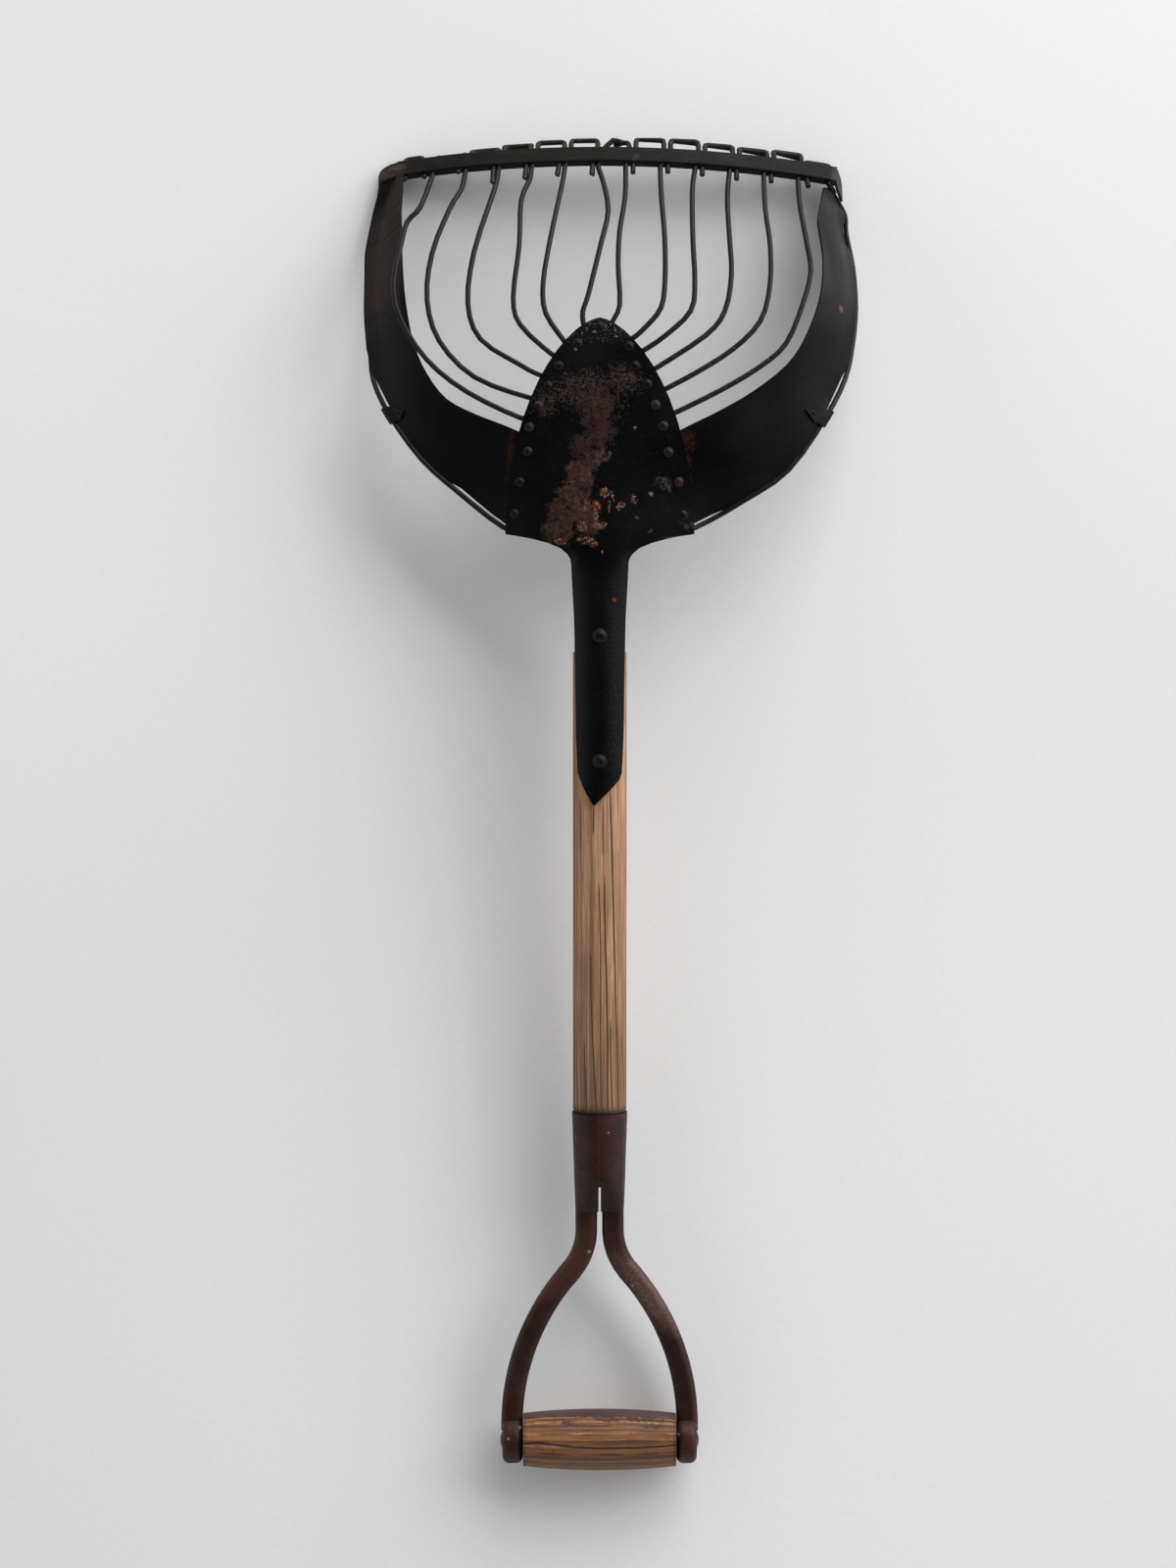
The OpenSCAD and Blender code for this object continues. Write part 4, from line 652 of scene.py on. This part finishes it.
def hem(side):
    """The wing's outer edge pressed against its rod, or lapped over it, with a short open slit or two."""
    rod = nodes["rim_rod_" + side].data
    tree = KDTree(len(rod.vertices))
    for v in rod.vertices:
        tree.insert(v.co, v.index)
    tree.balance()
    is_left = side == "left"
    outward = Vector((-1 if is_left else 1, 0, 0))

    def move(co):
        near, _, gap = tree.find(co)
        x, y, z = co
        if gap < EDGE_GAP and y < EDGE_END:
            way = Vector((near.x - x, near.y - y, 0))
            way = way.normalized() if way.length > 2e-4 else outward
            shut = 1.0
            for lo, hi in SLITS[side]:
                shut = min(shut, 1 - ease(y, lo - 0.006, lo + 0.001) * (1 - ease(y, hi - 0.001, hi + 0.006)))
            lap = ease(y, 0.300, 0.322) if is_left else 0.0
            out = PRESSED * shut * (1 - lap) + LAPPED * lap
            x, y, z = x + way.x * out, y + way.y * out * (1 - lap), z + PRESSED * lap
        if is_left:
            # the front corner reaches up and forward, under the bar
            up = ease(co.y, 0.418, 0.445)
            inner = ease(co.x, -0.1600, -0.1525)
            x += 0.0030 * up * inner
            z += up * (0.0022 + 0.0056 * inner)
            y += 0.0092 * ease(co.y, 0.430, 0.4445)
            x = max(x, CAD_BOX[0][0] + INSIDE)
        return Vector((x, y, z))
    return move


# The strap's point: the Y where it starts, its length, how far it leans, and the least height moved
STRAP_TIP_Y, STRAP_TIP_RUN, STRAP_TIP_ASIDE, STRAP_LOW = 0.0171, 0.0184, 0.0042, 0.045


def lean_tip(co):
    """The strap's point is cut off-centre, towards the left."""
    low = STRAP_TIP_Y - co.y
    if low <= 0 or co.z <= STRAP_LOW:
        return co
    return Vector((co.x - STRAP_TIP_ASIDE * min(1, low / STRAP_TIP_RUN), co.y, co.z))


# How much further each wire's front loop stands out, in metres
LOOPS_OUT = {"tine_02": 0.0008, "tine_03": 0.0028, "tine_04": 0.0009, "tine_05": 0.0006, "tine_08": 0.0018,
             "tine_09": 0.0024, "tine_10": 0.0022, "tine_11": 0.0026, "tine_12": 0.0030}
# Cut ends that stand more square to the bar: right of this X, with this lean
STUBS = {"tine_02": (-0.0935, 0.34), "tine_03": (-0.0730, 0.32), "tine_04": (-0.0490, 0.26),
         "tine_05": (-0.0250, 0.38)}
STUB_BACK, STUB_FRONT = 0.436, 0.4575  # the Y of their ends, and of the bar


def rebend(name):
    """Moves a wire's front loop and cut end, or None for a wire that stays as it is."""
    if name not in LOOPS_OUT:
        return None
    out = LOOPS_OUT[name]
    top = max(v.co.y for v in nodes[name].data.vertices)
    left, lean = STUBS.get(name, (None, 0))

    def move(co):
        # the loop is held inside the CAD box
        co = Vector((co.x, min(CAD_BOX[1][1], co.y + out * ease(co.y, top - 0.0065, top - 0.0030)), co.z))
        if left is not None and co.x > left and STUB_BACK < co.y < STUB_FRONT:
            co = Vector((co.x + lean * (STUB_FRONT - co.y), co.y, co.z))
        return co
    return move


CLIP_RIVETS = {}
for is_right in (False, True):
    at_side = [v.co for v in nodes["clip_rivets"].data.vertices if (v.co.x > 0) == is_right]
    CLIP_RIVETS[is_right] = ([min(c[k] for c in at_side) for k in range(3)],
                             [max(c[k] for c in at_side) for k in range(3)])


def low_rivet(co):
    """The clips' rivets are hammered small and nearly flush."""
    lo, hi = CLIP_RIVETS[co.x > 0]
    mid = Vector(((lo[0] + hi[0]) / 2, (lo[1] + hi[1]) / 2, co.z))
    top = hi[2]
    return mid + (co - mid) * 0.62 - Vector((0, 0, 0.0008 * ease(co.z, top - 0.002, top)))


# Edges sharper than this many degrees stay sharp
WIRE_ANGLE, SHEET_ANGLE, RIVET_ANGLE = 62, 38, 50
for name in nodes:
    if name.startswith(("tine", "rim_rod")):
        skin(name, WIRE_ANGLE, rebend(name))
for name, move in [("inner_plate", None), ("rim_clip_left", None), ("rim_clip_right", None), ("front_bar", None),
                   ("wing_left", hem("left")), ("wing_right", hem("right")), ("outer_plate", lean_tip)]:
    skin(name, SHEET_ANGLE, move)
skin("clip_rivets", RIVET_ANGLE, low_rivet)
skin("shaft", SHEET_ANGLE)

# ---- floor, light, camera ----
FLOOR_HALF, FLOOR_Z = 6.0, -0.0006


def floor():
    g = Graph("floor_paint")
    soft = g.noise(g.pos, 1.2, 3, 0.5)
    fine = g.noise(g.pos, 260, 3, 0.6)
    colour = g.mix(g.fade(soft, 0.3, 0.7), rgb(226, 226, 226), rgb(231, 231, 231))
    colour = g.mix(g.fade(fine, 0.45, 0.6, 0, 0.2), colour, rgb(222, 222, 221))
    mesh = bpy.data.meshes.new("floor")
    s = FLOOR_HALF
    mesh.from_pydata([(-s, -s, 0), (s, -s, 0), (s, s, 0), (-s, s, 0)], [], [(0, 1, 2, 3)])
    mesh.materials.append(g.finish(fine, 0.15, 0.0004, Base_Color=colour, Roughness=0.6, Specular_IOR_Level=0.2))
    obj = bpy.data.objects.new("floor", mesh)
    obj.location.z = FLOOR_Z
    bpy.context.scene.collection.objects.link(obj)


def window():
    """A large soft window above the mouth of the scoop, to the right."""
    place, aim = Vector((2.95, 3.65, 2.35)), Vector((0, 0.05, 0))
    data = bpy.data.lights.new("window", "AREA")
    data.shape = "RECTANGLE"
    data.size, data.size_y = 7.6, 3.6
    data.energy = 445
    data.color = (1.0, 0.998, 0.992)
    obj = bpy.data.objects.new("window", data)
    obj.location = place
    obj.rotation_euler = (aim - place).to_track_quat("-Z", "Y").to_euler()
    bpy.context.scene.collection.objects.link(obj)


# The world's brightness from the horizon (0) to straight up (1), and its strength. The photograph's
# view shows only the floor, whose own colour is the background
SKY = [(0.0, 1.0), (0.3, 0.80), (0.62, 0.28), (1.0, 0.03)]
SKY_STRENGTH = 1.46


def room():
    world = bpy.data.worlds.new("room")
    bpy.context.scene.world = world
    world.use_nodes = True
    tree = world.node_tree
    tree.nodes.clear()
    out, background, place, split, ramp = [tree.nodes.new("ShaderNode" + kind) for kind in
                                           ("OutputWorld", "Background", "TexCoord", "SeparateXYZ", "ValToRGB")]
    stops = ramp.color_ramp.elements
    while len(stops) < len(SKY):
        stops.new(0.5)
    for k, (p, v) in enumerate(SKY):
        stops[k].position = p
        stops[k].color = (v, v, v * 1.01, 1)
    tree.links.new(place.outputs["Generated"], split.inputs[0])
    tree.links.new(split.outputs[2], ramp.inputs[0])
    tree.links.new(ramp.outputs[0], background.inputs[0])
    background.inputs["Strength"].default_value = SKY_STRENGTH
    tree.links.new(background.outputs[0], out.inputs[0])


def camera():
    cam = bpy.data.cameras.new("camera")
    cam.sensor_fit = "VERTICAL"
    cam.sensor_height = 36
    cam.sensor_width = 36
    cam.lens = 79.39
    cam.clip_end = 50
    obj = bpy.data.objects.new("camera", cam)
    obj.location = EYE
    bpy.context.scene.collection.objects.link(obj)
    bpy.context.scene.camera = obj


floor()
window()
room()
camera()
bpy.context.scene.view_settings.view_transform = "Standard"
